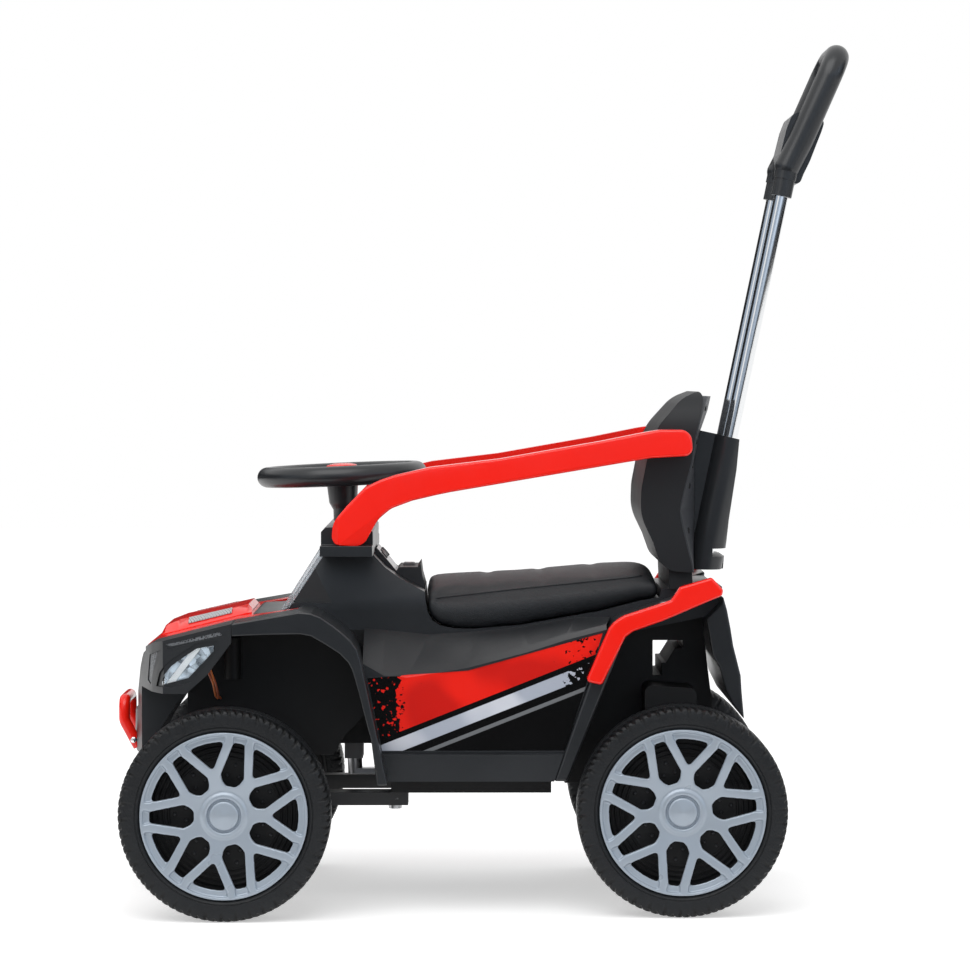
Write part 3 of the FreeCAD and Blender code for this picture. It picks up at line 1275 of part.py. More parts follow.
def tube_holder():
    """Socket behind the backrest with a rounded back, two blind bores and a notch."""
    body = wide(side(HOLDER_SHARES), HOLDER_HALF)
    rounds = []
    for sign in (-1, 1):
        foot, up = tube_line(sign)
        rounds.append(rod(foot - up * TUBE_LENGTH, foot + up * TUBE_LENGTH, HOLDER_ROUND))
    front = wide(side(HOLDER_FRONT_SHARES), HOLDER_BODY_HALF)
    middle = wide(side(HOLDER_SHARES), TUBE_SPACING / 2 - TUBE_RADIUS)
    body = body.common(front.fuse(rounds + [middle])).cut(backrest_rear())
    bores = [handle_tube(s, BORE_GAP, TUBE_LENGTH) for s in (-1, 1)]
    notch = wide(side(HOLDER_NOTCH_SHARES), 2 * HOLDER_HALF)
    return body.cut(bores + [notch]).removeSplitter()


def handle_grip():
    """Looped grip with a sleeve on each tube end and a web between them."""
    parts = []
    ends = []
    for sign in (-1, 1):
        foot, up = tube_line(sign)
        end = foot + up * TUBE_LENGTH
        ends.append(end)
        parts.append(rod(end - up * GRIP_SLEEVE_DEPTH, end, GRIP_SLEEVE))
        parts.append(rod(end - up * GRIP_COLLAR_DEPTH, end, GRIP_COLLAR))
        parts.append(Part.makeSphere(GRIP_RADIUS, end))
    left, right = ends
    reach = [V(a * GRIP_RISE, 0, b * GRIP_RISE) for a, b in GRIP_LOOP_SHARES]
    corners = [left + r for r in reach] + [right + r for r in reversed(reach)]
    loop = swept(corners, GRIP_BEND, GRIP_RADIUS)
    points = [(left.x + a * GRIP_RISE, left.z + b * GRIP_RISE) for a, b in GRIP_WEB_SHARES]
    web = soft_prism(points, OUTLINE_SOFT, -GRIP_WEB_HALF, GRIP_WEB_HALF)
    bores = [handle_tube(s, 0, TUBE_LENGTH) for s in (-1, 1)]
    return loop.fuse(parts + [web]).cut(bores).removeSplitter()


# Seat


SEAT_SHARES = [
    (0.4375, 0.800, 0.850), (0.441, 0.765, 0.872), (0.452, 0.728, 0.886), (0.470, 0.707, 0.891),
    (0.505, 0.695, 0.896), (0.548, 0.694, 0.900), (0.651, 0.709, 0.909), (0.832, 0.766, 0.938),
    (0.900, 0.798, 0.943), (0.922, 0.808, 0.9415), (0.942, 0.815, 0.933), (0.956, 0.8198, 0.917),
    (0.963, 0.8222, 0.898), (0.966, 0.8232, 0.874),
]
SEAT_HALF = 94.0
SEAT_WAIST_SHARE = 0.93
SEAT_EDGE_SHARE = 0.88
SEAT_CROWN_SHARE = 0.72
CHANNEL_RADIUS = 5.0
CHANNEL_SHARES = [(0.58, 0.9145), (0.7, 0.93), (0.82, 0.947)]


def seat_section(share):
    """Cross-section of the seat: flat foot, bulging sides and a crowned top."""
    x, low = side([share[:2]])[0]
    top = side([(share[0], share[2])])[0][1]
    edge = low + SEAT_CROWN_SHARE * (top - low)
    middle = (low + edge) / 2
    foot = SEAT_WAIST_SHARE * SEAT_HALF
    brow = SEAT_EDGE_SHARE * SEAT_HALF
    return Part.Wire([
        Part.makeLine(V(x, -foot, low), V(x, foot, low)),
        Part.Arc(V(x, foot, low), V(x, SEAT_HALF, middle), V(x, brow, edge)).toShape(),
        Part.Arc(V(x, brow, edge), V(x, 0, top), V(x, -brow, edge)).toShape(),
        Part.Arc(V(x, -brow, edge), V(x, -SEAT_HALF, middle), V(x, -foot, low)).toShape(),
    ])


def seat_pad():
    """Soft pad with a crown and three cross channels."""
    pad = Part.makeLoft([seat_section(s) for s in SEAT_SHARES], True, True)
    cuts = [rod(V(x, -SEAT_HALF, z), V(x, SEAT_HALF, z), CHANNEL_RADIUS) for x, z in side(CHANNEL_SHARES)]
    return pad.cut(cuts)


# Drive


GEAR_SHARES = [(0.931, -0.1), (0.931, 0.475), (1.048, 0.46), (1.048, -0.1)]
GEAR_OUTER = 124.0
MOTOR_SHARES = (0.906, 0.25)
MOTOR_RADIUS = 18.0
MOTOR_LENGTH = 46.0
BATTERY_SHARES = (0.55, 0.687)
BATTERY_HALF = 75.5
BATTERY_HEIGHT = 94.0
CONTROL_SHARES = (0.42, 0.52)
CONTROL_HALF = 40.0
CONTROL_HEIGHT = 26.0


def drive_unit():
    """Left gear housing with its motor."""
    housing = soft_prism(side(GEAR_SHARES), OUTLINE_SOFT, -GEAR_OUTER, -CARRIER_HALF)
    x, z = side([MOTOR_SHARES])[0]
    motor = rod(V(x, -CARRIER_HALF, z), V(x, -CARRIER_HALF - MOTOR_LENGTH, z), MOTOR_RADIUS)
    return housing.fuse(motor).cut(axle_rod(BORE_GAP)).removeSplitter()


def inner_box(shares, half, height):
    """Plain box that stands in the floor tray."""
    front = side([(shares[0], 0)])[0][0]
    rear = side([(shares[1], 0)])[0][0]
    floor = AXLE_Z + RAIL_HIGH + WALL
    return block(front, rear, -half, half, floor, floor + height)


# Writes every node


def pair(name, piece):
    """Left and right nodes of one piece."""
    save(name + "_left", piece)
    save(name + "_right", mirrored(piece))


wheels()
save("steering_shaft", steering_shaft())
save("steering_wheel", steering_wheel())
save("horn_cap", horn_cap())
save("column_bearing", column_bearing())
save("steering_link", steering_link())
pair("knuckle", knuckle())
save("front_axle_beam", front_axle_beam())
save("kingpins", *kingpins())
pair("subframe_rail", subframe_rail())
save("rail_bolts", rail_bolt(), mirrored(rail_bolt()))
save("floor_pan", floor_pan())
save("front_bulkhead", front_bulkhead())
save("rear_carrier", rear_carrier())
save("rear_axle", rear_axle())
save("body_shell", body_shell())
pair("front_fender", front_fender())
pair("rear_fender", rear_fender())
pair("rear_trim", rear_trim())
save("tail_panel", tail_panel())
save("front_fascia", front_fascia())
save("headlamp_lenses", headlamp_lens(), mirrored(headlamp_lens()))
save("headlamp_reflectors", headlamp_reflector(), mirrored(headlamp_reflector()))
save("grille", grille())
save("hood", hood())
save("hood_vents", hood_vent(), mirrored(hood_vent()))
save("windscreen", windscreen())
save("bull_bar", bull_bar())
LEADS = lamp_lead()
save("lamp_leads", *LEADS, *[mirrored(strand) for strand in LEADS])
save("console_collar", console_collar())
save("dash_panel", dash_panel())
save("power_button", power_button())
save("direction_rocker", direction_rocker())
pair("guard_bar", guard_bar())
save("backrest_front", backrest_front())
save("backrest_rear", backrest_rear())
save("tube_holder", tube_holder())
save("handle_tubes", handle_tube(-1, 0, TUBE_LENGTH), handle_tube(1, 0, TUBE_LENGTH))
save("handle_grip", handle_grip())
save("seat_pad", seat_pad())
save("drive_units", drive_unit(), mirrored(drive_unit()))
save("battery", inner_box(BATTERY_SHARES, BATTERY_HALF, BATTERY_HEIGHT))
save("control_box", inner_box(CONTROL_SHARES, CONTROL_HALF, CONTROL_HEIGHT))
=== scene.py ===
import json
import math
import bmesh
import bpy
import numpy as np
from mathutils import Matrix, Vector
from mathutils.bvhtree import BVHTree

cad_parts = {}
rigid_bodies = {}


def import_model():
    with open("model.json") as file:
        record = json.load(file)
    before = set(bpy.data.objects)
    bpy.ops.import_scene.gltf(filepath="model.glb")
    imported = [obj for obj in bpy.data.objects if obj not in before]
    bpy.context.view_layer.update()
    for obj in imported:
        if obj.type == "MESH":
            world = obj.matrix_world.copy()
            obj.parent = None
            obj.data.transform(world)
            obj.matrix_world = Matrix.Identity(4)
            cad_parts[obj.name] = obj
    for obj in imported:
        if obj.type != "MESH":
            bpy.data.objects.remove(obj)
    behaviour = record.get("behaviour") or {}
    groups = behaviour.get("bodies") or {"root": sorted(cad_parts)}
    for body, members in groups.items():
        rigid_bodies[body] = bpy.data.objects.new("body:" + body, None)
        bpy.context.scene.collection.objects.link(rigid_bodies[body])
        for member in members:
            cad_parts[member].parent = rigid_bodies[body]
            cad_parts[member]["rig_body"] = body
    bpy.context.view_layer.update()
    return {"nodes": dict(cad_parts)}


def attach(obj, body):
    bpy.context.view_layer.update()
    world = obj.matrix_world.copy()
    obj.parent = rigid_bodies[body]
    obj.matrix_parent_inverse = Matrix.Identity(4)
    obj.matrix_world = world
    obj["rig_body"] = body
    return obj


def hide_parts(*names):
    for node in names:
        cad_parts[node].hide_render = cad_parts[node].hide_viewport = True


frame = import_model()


# Underbody: floor pan, front bulkhead, rear carrier and the boxes inside the shell.
# They are injection-moulded black plastic with a fine spark-eroded grain, screwed
# together from below, so only their edges and the arches show.

class Socket:
    """A shader socket for use in sums: each operator adds one Math node to its material."""

    def __init__(self, tree, output):
        self.tree = tree
        self.output = output

    def node(self, kind, settings=None, values=None, result=0):
        """Adds any other node: its settings first, then values or links for its sockets."""
        made = self.tree.nodes.new(kind)
        for key, value in (settings or {}).items():
            setattr(made, key, value)
        for key, value in (values or {}).items():
            if isinstance(value, Socket):
                self.tree.links.new(value.output, made.inputs[key])
            else:
                made.inputs[key].default_value = value
        return Socket(self.tree, made.outputs[result])

    def math(self, operation, *values):
        return self.node("ShaderNodeMath", {"operation": operation}, dict(enumerate(values)))

    def __add__(self, other):
        return self.math("ADD", self, other)

    def __radd__(self, other):
        return self.math("ADD", other, self)

    def __sub__(self, other):
        return self.math("SUBTRACT", self, other)

    def __rsub__(self, other):
        return self.math("SUBTRACT", other, self)

    def __mul__(self, other):
        return self.math("MULTIPLY", self, other)

    def __rmul__(self, other):
        return self.math("MULTIPLY", other, self)

    def __abs__(self):
        return self.math("ABSOLUTE", self)

    def most(self, other):
        return self.math("MAXIMUM", self, other)

    def noise(self, scale, detail=2.0):
        """Cloudy noise from 0 to 1 at this place."""
        return self.node("ShaderNodeTexNoise", {},
                         {"Vector": self, "Scale": scale, "Detail": detail})

    def cells(self, scale):
        """Distance from the nearest cell wall, in cell sizes."""
        return self.node("ShaderNodeTexVoronoi", {"feature": "DISTANCE_TO_EDGE"},
                         {"Vector": self, "Scale": scale})

    def part(self, axis):
        """One coordinate of this place, in metres."""
        return self.node("ShaderNodeSeparateXYZ", {}, {0: self}, axis)

    def between(self, low, high):
        """0 below low and 1 above high, with a smooth step."""
        return self.node("ShaderNodeMapRange", {"interpolation_type": "SMOOTHSTEP"},
                         {"Value": self, "From Min": low, "From Max": high})

    def colours(self, first, second):
        """Mix of two colours by this factor."""
        pair = [c if isinstance(c, Socket) else (*c, 1) for c in (first, second)]
        return self.node("ShaderNodeMix", {"data_type": "RGBA"}, {0: self, 6: pair[0], 7: pair[1]}, 2)

    def bump(self, distance, strength=1.0):
        """Surface normal raised by this height."""
        return self.node("ShaderNodeBump", {},
                         {"Strength": strength, "Distance": distance, "Height": self})

    def into(self, shader, name):
        self.tree.links.new(self.output, shader.inputs[name])


def finish(name, **fixed):
    """New material with fixed numbers on its shader's sockets: gives it, its shader and its place."""
    material = bpy.data.materials.new(name)
    material.use_nodes = True
    tree = material.node_tree
    shader = tree.nodes["Principled BSDF"]
    for key, value in fixed.items():
        socket = shader.inputs[key.replace("_", " ")]
        socket.default_value = (*value, 1) if isinstance(value, tuple) else value
    place = Socket(tree, tree.nodes.new("ShaderNodeTexCoord").outputs["Object"])
    return material, shader, place


def moulded(name, dark, light, gloss, grain, spec=0.5):
    """Moulded plastic: cloudy tone, uneven roughness round gloss, and a fine grain that stands up
    by grain metres."""
    material, shader, place = finish(name, Specular_IOR_Level=spec)
    place.noise(9.0, 3.0).colours(dark, light).into(shader, "Base Color")
    (gloss - 0.06 + 0.12 * place.noise(23.0, 4.0)).into(shader, "Roughness")
    place.noise(1500.0, 1.0).bump(grain, 0.6).into(shader, "Normal")
    return material


BLACKS = (0.012, 0.0135, 0.0155), (0.019, 0.021, 0.024)
black = moulded("black_moulding", *BLACKS, 0.31, 0.00008)
inner_black = moulded("inner_black", (0.004, 0.004, 0.0043), (0.007, 0.007, 0.0076), 0.52, 0.0002, 0.3)
TOGETHER = 2e-6
FLAT = math.radians(1.2)


def corners_of(node):
    """Points and triangles of a solid, with points that lie together merged."""
    mesh = frame["nodes"][node].data
    mesh.calc_loop_triangles()
    points = np.empty(3 * len(mesh.vertices))
    mesh.vertices.foreach_get("co", points)
    points = points.reshape(-1, 3)
    triangles = np.empty(3 * len(mesh.loop_triangles), np.int32)
    mesh.loop_triangles.foreach_get("vertices", triangles)
    keys = np.round(points / TOGETHER).astype(np.int64)
    first, index = np.unique(keys, axis=0, return_index=True, return_inverse=True)[1:]
    triangles = index.reshape(-1)[triangles.reshape(-1, 3)]
    real = (triangles != np.roll(triangles, 1, axis=1)).all(axis=1)
    return points[first], triangles[real]


def placed(name, mesh, material, body, nodes=(), crease=35.0):
    """Puts a finished mesh into the scene on its body, smooth up to the crease angle."""
    mesh.materials.append(material)
    mesh.shade_smooth()
    mesh.set_sharp_from_angle(angle=math.radians(crease))
    piece = bpy.data.objects.new(name, mesh)
    bpy.context.scene.collection.objects.link(piece)
    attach(piece, body)
    if nodes:
        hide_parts(*nodes)
    return piece


def skin(node, material, edge=0.0, crease=35.0, rows=2):
    """Shows a solid with its flat areas joined and its sharp edges rounded to a radius of edge."""
    points, triangles = corners_of(node)
    mesh = bpy.data.meshes.new(node + "_skin")
    mesh.from_pydata(points, [], triangles)
    work = bmesh.new()
    work.from_mesh(mesh)
    bmesh.ops.dissolve_limit(work, angle_limit=FLAT, verts=work.verts, edges=work.edges)
    work.to_mesh(mesh)
    work.free()
    body = frame["nodes"][node]["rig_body"]
    piece = placed(node + "_skin", mesh, material, body, [node], crease)
    if edge:
        soft = piece.modifiers.new("edge", "BEVEL")
        soft.width = edge
        soft.segments = rows
        soft.limit_method = "ANGLE"
        soft.angle_limit = math.radians(crease)
        soft.use_clamp_overlap = True
        weigh = piece.modifiers.new("flats", "WEIGHTED_NORMAL")
        weigh.keep_sharp = True
    return piece


for node in ("floor_pan", "front_bulkhead", "rear_carrier", "drive_units", "battery",
             "control_box"):
    skin(node, inner_black, 0.0008)


# Steel under the floor: rails, front axle beam, knuckles and link are stamped and
# painted black; pins, bolts, column and rear axle are bare drawn steel.

paint, paint_shader, paint_place = finish("black_paint", Specular_IOR_Level=0.5)
chips = paint_place.noise(60.0, 6.0).between(0.70, 0.74)
chips.colours((0.012, 0.012, 0.013), (0.10, 0.10, 0.105)).into(paint_shader, "Base Color")
(0.38 + 0.2 * paint_place.noise(40.0)).into(paint_shader, "Roughness")
paint_place.noise(500.0).bump(0.0001, 0.4).into(paint_shader, "Normal")
steel, steel_shader, steel_place = finish("bare_steel", Metallic=1.0)
tone = steel_place.noise(30.0, 4.0).colours((0.42, 0.42, 0.43), (0.60, 0.60, 0.61))
tone.into(steel_shader, "Base Color")
(0.22 + 0.2 * steel_place.noise(90.0, 3.0)).into(steel_shader, "Roughness")
for node in ("subframe_rail_left", "subframe_rail_right", "front_axle_beam", "knuckle_left",
             "knuckle_right", "steering_link"):
    skin(node, paint, 0.0006)
for node in ("kingpins", "rail_bolts", "steering_shaft", "rear_axle"):
    skin(node, steel, 0.0005)
grey = moulded("grey_moulding", (0.10, 0.10, 0.105), (0.15, 0.15, 0.155), 0.5, 0.0001)
skin("column_bearing", grey, 0.001)


# Wheels: a foamed black tyre with shoulder blocks, a black moulded core with rings and
# small ejector pips, and a silver cover whose seven arms each split in two near the rim.

def net(name, points, closed_rows, closed_columns):
    """Mesh on grids of points, one or several: rows by columns, joined at the ends where
    closed; points that lie together are merged, so poles close, and faces turn outwards."""
    points = points.reshape(-1, *points.shape[-3:])
    count, rows, columns = points.shape[:3]
    index = np.arange(count * rows * columns).reshape(count, rows, columns)
    if closed_rows:
        index = np.concatenate([index, index[:, :1]], 1)
    if closed_columns:
        index = np.concatenate([index, index[:, :, :1]], 2)
    quads = np.stack([index[:, :-1, :-1], index[:, 1:, :-1], index[:, 1:, 1:], index[:, :-1, 1:]], -1)
    mesh = bpy.data.meshes.new(name)
    mesh.from_pydata(points.reshape(-1, 3), [], quads.reshape(-1, 4))
    work = bmesh.new()
    work.from_mesh(mesh)
    bmesh.ops.remove_doubles(work, verts=work.verts, dist=1e-7)
    bmesh.ops.recalc_face_normals(work, faces=work.faces)
    work.to_mesh(mesh)
    work.free()
    return mesh


def turned(name, places, axes, profile, steps=20):
    """Turned forms, one at each place: the profile's radius and height are carried round the
    axis, so a point is place + radius (cos, sin) across the axis + height along it."""
    places = np.array(places, float).reshape(-1, 3)
    axes = np.array(axes, float).reshape(-1, 3) * np.ones_like(places)
    axes = axes / np.linalg.norm(axes, axis=1, keepdims=True)
    across = np.cross(axes, np.where(np.abs(axes[:, :1]) < 0.8, [[1.0, 0, 0]], [[0, 1.0, 0]]))
    across = across / np.linalg.norm(across, axis=1, keepdims=True)
    turn = np.linspace(0, math.tau, steps, endpoint=False)[None, :, None, None]
    ring = np.cos(turn) * across[:, None, None] + np.sin(turn) * np.cross(axes, across)[:, None, None]
    radius, height = np.array(profile, float).T
    points = places[:, None, None] + radius[:, None] * ring + height[:, None] * axes[:, None, None]
    return net(name, points, True, False)


rubber, rubber_shader, rubber_place = finish("tyre_rubber", Specular_IOR_Level=0.3)
dust = rubber_place.noise(35.0, 5.0)
worn = dust.colours((0.005, 0.0055, 0.0065), (0.013, 0.0145, 0.0165))
# The sunk grooves and tread rings are painted near black: painted shade in the recesses.
sunk = rubber_place.node("ShaderNodeAttribute", {"attribute_name": "groove"}, {}, "Fac")
sunk.colours(worn, (0.002, 0.002, 0.0022)).into(rubber_shader, "Base Color")
(0.34 + 0.2 * rubber_place.noise(18.0, 3.0)).into(rubber_shader, "Roughness")
rubber_place.noise(420.0, 3.0).bump(0.0011, 0.6).into(rubber_shader, "Normal")
silver, silver_shader, silver_place = finish("silver_cover", Metallic=0.25, Specular_IOR_Level=0.6)
tone = silver_place.noise(12.0, 3.0).colours((0.33, 0.385, 0.45), (0.38, 0.435, 0.50))
tone.into(silver_shader, "Base Color")
(0.24 + 0.1 * silver_place.noise(20.0, 3.0)).into(silver_shader, "Roughness")
TYRE_RADIUS, TYRE_SEAT, TYRE_HALF = 0.1115, 0.0884, 0.028
BLOCKS, GROOVE_DEPTH = 84, 0.0017


def tyre(name, axle):
    """Tyre: a square-shouldered section turned about the axle. Slanted grooves cut the shoulders
    where the turn, counted in blocks, is near a whole number, every second one runs further down
    the wall, and two rings are sunk round the tread."""
    turn = np.linspace(0, math.tau, 10 * BLOCKS, endpoint=False)[:, None]
    rise = np.array([0, 0.04, 0.14, 0.17, 0.19, 0.21, 0.24, 0.5, 0.70, 0.80, 0.87, 0.93, 0.965,
                     0.99] + [1.0] * 9)
    across = np.array([0.86, 0.90, 0.96, 0.967, 0.945, 0.945, 0.972, 1.0, 0.995, 0.985, 0.97,
                       0.93, 0.87, 0.78, 0.66, 0.58, 0.44, 0.36, 0.34, 0.26, 0.24, 0.12, 0.0])
    rise = np.concatenate([rise, rise[-2::-1]])[None]
    across = np.concatenate([across, -across[-2::-1]])[None]
    count = BLOCKS * turn / math.tau + 1.6 * np.abs(across) + 0.22 * np.sin(5 * turn)
    near = np.abs(count - np.round(count))
    longer = np.where(np.round(count) % 2 == 0, 0.66, 0.84)
    slot = np.clip((0.24 - near) / 0.08, 0, 1) * np.clip((rise - longer) / 0.05, 0, 1)
    ring = (np.abs(np.abs(across) - 0.30) < 0.045) * (rise > 0.99)
    groove = np.maximum(slot * (np.abs(across) > 0.4), ring)
    sink = GROOVE_DEPTH * groove
    radius = TYRE_SEAT + rise * (TYRE_RADIUS - TYRE_SEAT) - sink * (rise > 0.85)
    inward = np.sign(across) * 0.6 * sink * (np.abs(across) > 0.8)
    y = (across * TYRE_HALF - inward) * np.ones_like(turn)
    x, z = axle[0] + radius * np.cos(turn), axle[2] + radius * np.sin(turn)
    mesh = net(name, np.stack([x, axle[1] + y, z], -1), True, True)
    mesh.attributes.new("groove", "FLOAT", "POINT").data.foreach_set("value", groove.ravel())
    return mesh


ARMS = 7
pip_turn = 360 / ARMS * np.repeat(np.arange(ARMS) + 0.5, 3) + np.tile([-9.0, 9.0, 0.0], ARMS)
pip_reach = np.tile([0.0414, 0.0414, 0.0528], ARMS)
PIP_SEAT = 0.002
PIP = [(0, 0.0016), (0.0011, 0.0014), (0.0018, 0.0007), (0.002, -0.0005), (0, -0.0005)]
COVER_LEAN = {"front": -13.5, "rear": 7.0}
WHEELS = {"front_left": (-0.2728, -0.190, 0.1115), "front_right": (-0.2728, 0.190, 0.1115),
          "rear_left": (0.2092, -0.163, 0.1115), "rear_right": (0.2092, 0.163, 0.1115)}
for key, axle in WHEELS.items():
    out = -1 if "left" in key else 1
    mesh = tyre(key + "_tyre_form", axle)
    placed(key + "_tyre_form", mesh, rubber, key + "_wheel", [key + "_tyre"], 40.0)
    skin(key + "_core", inner_black, 0.0006, 30.0)
    cover = skin(key + "_cover", silver)
    dense = cover.modifiers.new("even", "REMESH")
    dense.mode = "VOXEL"
    dense.voxel_size = 0.0009
    dense.use_smooth_shade = True
    soft = cover.modifiers.new("soft", "SMOOTH")
    soft.factor = 0.5
    soft.iterations = 7
    lean = np.radians(pip_turn + COVER_LEAN[key.split("_")[0]])
    x, z = axle[0] + pip_reach * np.sin(lean), axle[2] + pip_reach * np.cos(lean)
    pips = np.stack([x, np.full_like(x, axle[1] + out * PIP_SEAT), z], -1)
    mesh = turned(key + "_pips", pips, (0, out, 0), PIP, 12)
    placed(key + "_pips", mesh, black, key + "_wheel")


# Body shell: one large black moulding from the console to the rear deck. Each side
# carries a glossy film with plain slanted stripes and a scatter of small flecks.

BODY_FRONT, BODY_LENGTH, BODY_FOOT, BODY_RISE = -0.271, 0.476, 0.115, 0.265


def side_view(*shares):
    """Places in the side view, in metres, from shares of the body's length and rise."""
    return [(BODY_FRONT + BODY_LENGTH * a, BODY_FOOT + BODY_RISE * b) for a, b in shares]


def left_of(place, first, last):
    """How far, in metres, a place lies to the left of a line in the side view."""
    (xa, za), (xb, zb) = first, last
    length = math.hypot(xb - xa, zb - za)
    ahead, up = (xb - xa) / length, (zb - za) / length
    return (place.part(0) - xa) * -up + (place.part(2) - za) * ahead


def within(place, outline, blur=0.0006):
    """1 inside a convex outline in the side view, which runs anticlockwise."""
    inside = 1.0
    for first, last in zip(outline, outline[1:] + outline[:1]):
        inside = left_of(place, first, last).between(0.0, blur) * inside
    return inside


shell, shell_shader, shell_place = finish("shell_moulding", Specular_IOR_Level=0.5)
film = abs(shell_place.part(1)).between(0.150, 0.152)
film = film * within(shell_place, side_view((0.341, 0.222), (0.750, 0.222), (0.834, 0.697),
                                            (0.834, 0.75), (0.28, 0.75)))
low_top, mid_top, high_top = side_view((0.308, 0.515), (0.533, 0.546), (0.834, 0.697))
below = left_of(shell_place, mid_top, low_top).most(left_of(shell_place, high_top, mid_top))
film = film * below.between(0.0, 0.0006)
slant = left_of(shell_place, (-0.10, 0.175), (0.12, 0.262))
fleck = shell_place.noise(170.0, 4.0)
ends = shell_place.part(0)
red_band = slant.between(0.014, 0.0146) * (fleck + ends.between(-0.100, -0.055)).between(0.60, 0.62)
red_band = red_band * (1 - (fleck + 0.16 * ends.between(0.05, 0.11)).between(0.735, 0.745))
pale_band = slant.between(-0.006, -0.0054) * (1 - slant.between(0.008, 0.0086))
pale_band = pale_band * (fleck + (1 - ends.between(0.045, 0.10))).between(0.60, 0.62)
thin_band = slant.between(-0.018, -0.0174) * (1 - slant.between(-0.014, -0.0134))
tone = shell_place.noise(7.0, 3.0).colours(*BLACKS)
tone = film.colours(tone, (0.004, 0.004, 0.0042))
shade = shell_place.noise(14.0, 1.0).between(0.42, 0.58)
tone = (film * red_band).colours(tone, shade.colours((0.62, 0.010, 0.006), (0.86, 0.014, 0.006)))
tone = (film * pale_band).colours(tone, shade.colours((0.40, 0.44, 0.52), (0.62, 0.65, 0.72)))
tone = (film * thin_band).colours(tone, (0.16, 0.17, 0.18))
tone.into(shell_shader, "Base Color")
(0.28 + 0.1 * shell_place.noise(20.0, 3.0) - 0.18 * film).into(shell_shader, "Roughness")
(shell_place.noise(1400.0, 1.0) * (1 - film)).bump(0.00012, 0.6).into(shell_shader, "Normal")
skin("body_shell", shell, 0.0045, 24.0, 4)


# Arches and tail: thick black fender bands and the tail panel close the body, and
# red trims run over the rear arches.

red = moulded("red_gloss", (0.88, 0.010, 0.003), (0.97, 0.013, 0.004), 0.18, 0.00002)
for side in ("left", "right"):
    skin("front_fender_" + side, black, 0.0025, 28.0, 3)
    skin("rear_fender_" + side, black, 0.0025, 28.0, 3)
    skin("rear_trim_" + side, red, 0.0015, 28.0, 3)
skin("tail_panel", black, 0.002, 30.0, 3)


# Nose: a black fascia with honeycomb corner panels and an open grille, clear lenses over
# ribbed bowls with a white light bar, the red hood with grey vents, and a red hoop.

fascia, fascia_shader, fascia_place = finish("fascia_moulding", Specular_IOR_Level=0.5)
beside_lamp = side_view((-0.153, 0.632), (-0.177, 0.608), (-0.184, 0.503), (-0.174, 0.490),
                        (-0.164, 0.560))
above_lamp = side_view((-0.137, 0.660), (-0.120, 0.650), (-0.063, 0.674), (-0.005, 0.695),
                       (-0.0155, 0.713))
comb = within(fascia_place, beside_lamp).most(within(fascia_place, above_lamp))
comb = comb * abs(fascia_place.part(1)).between(0.08, 0.085)
# In the honeycomb the cells are painted darker than the black as painted shade, and the cell walls
# light grey as a painted highlight on their rims.
cell = comb * (1 - fascia_place.cells(400.0).between(0.12, 0.22))
tone = fascia_place.noise(9.0, 3.0).colours(*BLACKS)
tone = comb.colours(tone, (0.010, 0.0105, 0.011))
cell.colours(tone, (0.15, 0.16, 0.175)).into(fascia_shader, "Base Color")
(0.33 + 0.1 * fascia_place.noise(23.0, 4.0)).into(fascia_shader, "Roughness")
(cell + 0.12 * fascia_place.noise(1500.0, 1.0)).bump(0.0008, 0.6).into(fascia_shader, "Normal")
skin("front_fascia", fascia, 0.0018, 28.0, 3)
skin("grille", inner_black, 0.0004)
clear, clear_shader, clear_place = finish("clear_moulding", Transmission_Weight=1.0, IOR=1.45,
                                          Base_Color=(0.93, 0.96, 0.98))
(0.03 + 0.05 * clear_place.noise(40.0)).into(clear_shader, "Roughness")
skin("headlamp_lenses", clear, 0.0004)
bowl, bowl_shader, bowl_place = finish("lamp_bowl")
beside = left_of(bowl_place, (-0.3322, 0.2465), (-0.3045, 0.2823))
bar = 1 - abs(beside).between(0.0030, 0.0036)
rib = bowl_place.node("ShaderNodeTexWave", {"bands_direction": "DIAGONAL"},
                      {"Vector": bowl_place, "Scale": 26.0, "Distortion": 3.0, "Detail": 2.0})
# Each facet and rib of the bowls is painted from dark blue-grey to bright silver: painted glints and
# reflections.
facet = bowl_place.node("ShaderNodeTexVoronoi", {}, {"Vector": bowl_place, "Scale": 150.0}, "Color")
glint = facet.part(0)
painted_glint = (0.65 * glint + 0.35 * rib).between(0.15, 0.85)
tone = painted_glint.colours((0.10, 0.125, 0.15), (0.62, 0.70, 0.78))
bar.colours(tone, (0.93, 0.94, 0.95)).into(bowl_shader, "Base Color")
(0.55 - 0.55 * bar).into(bowl_shader, "Metallic")
(0.16 + 0.2 * glint + 0.1 * bar).into(bowl_shader, "Roughness")
((1 - bar) * (rib + glint)).bump(0.0016, 0.7).into(bowl_shader, "Normal")
skin("headlamp_reflectors", bowl, 0.0008)
skin("hood", red, 0.0018, 28.0, 3)
mesh_grey, mesh_shader, mesh_place = finish("vent_mesh", Specular_IOR_Level=0.4)
lengthwise, crosswise = 330.0 * mesh_place.part(0), 150.0 * mesh_place.part(1)
leaning = abs(mesh_place.math("FRACT", lengthwise + crosswise) - 0.5)
crossing = abs(mesh_place.math("FRACT", lengthwise - crosswise) - 0.5)
wall = leaning.most(crossing).between(0.16, 0.32)
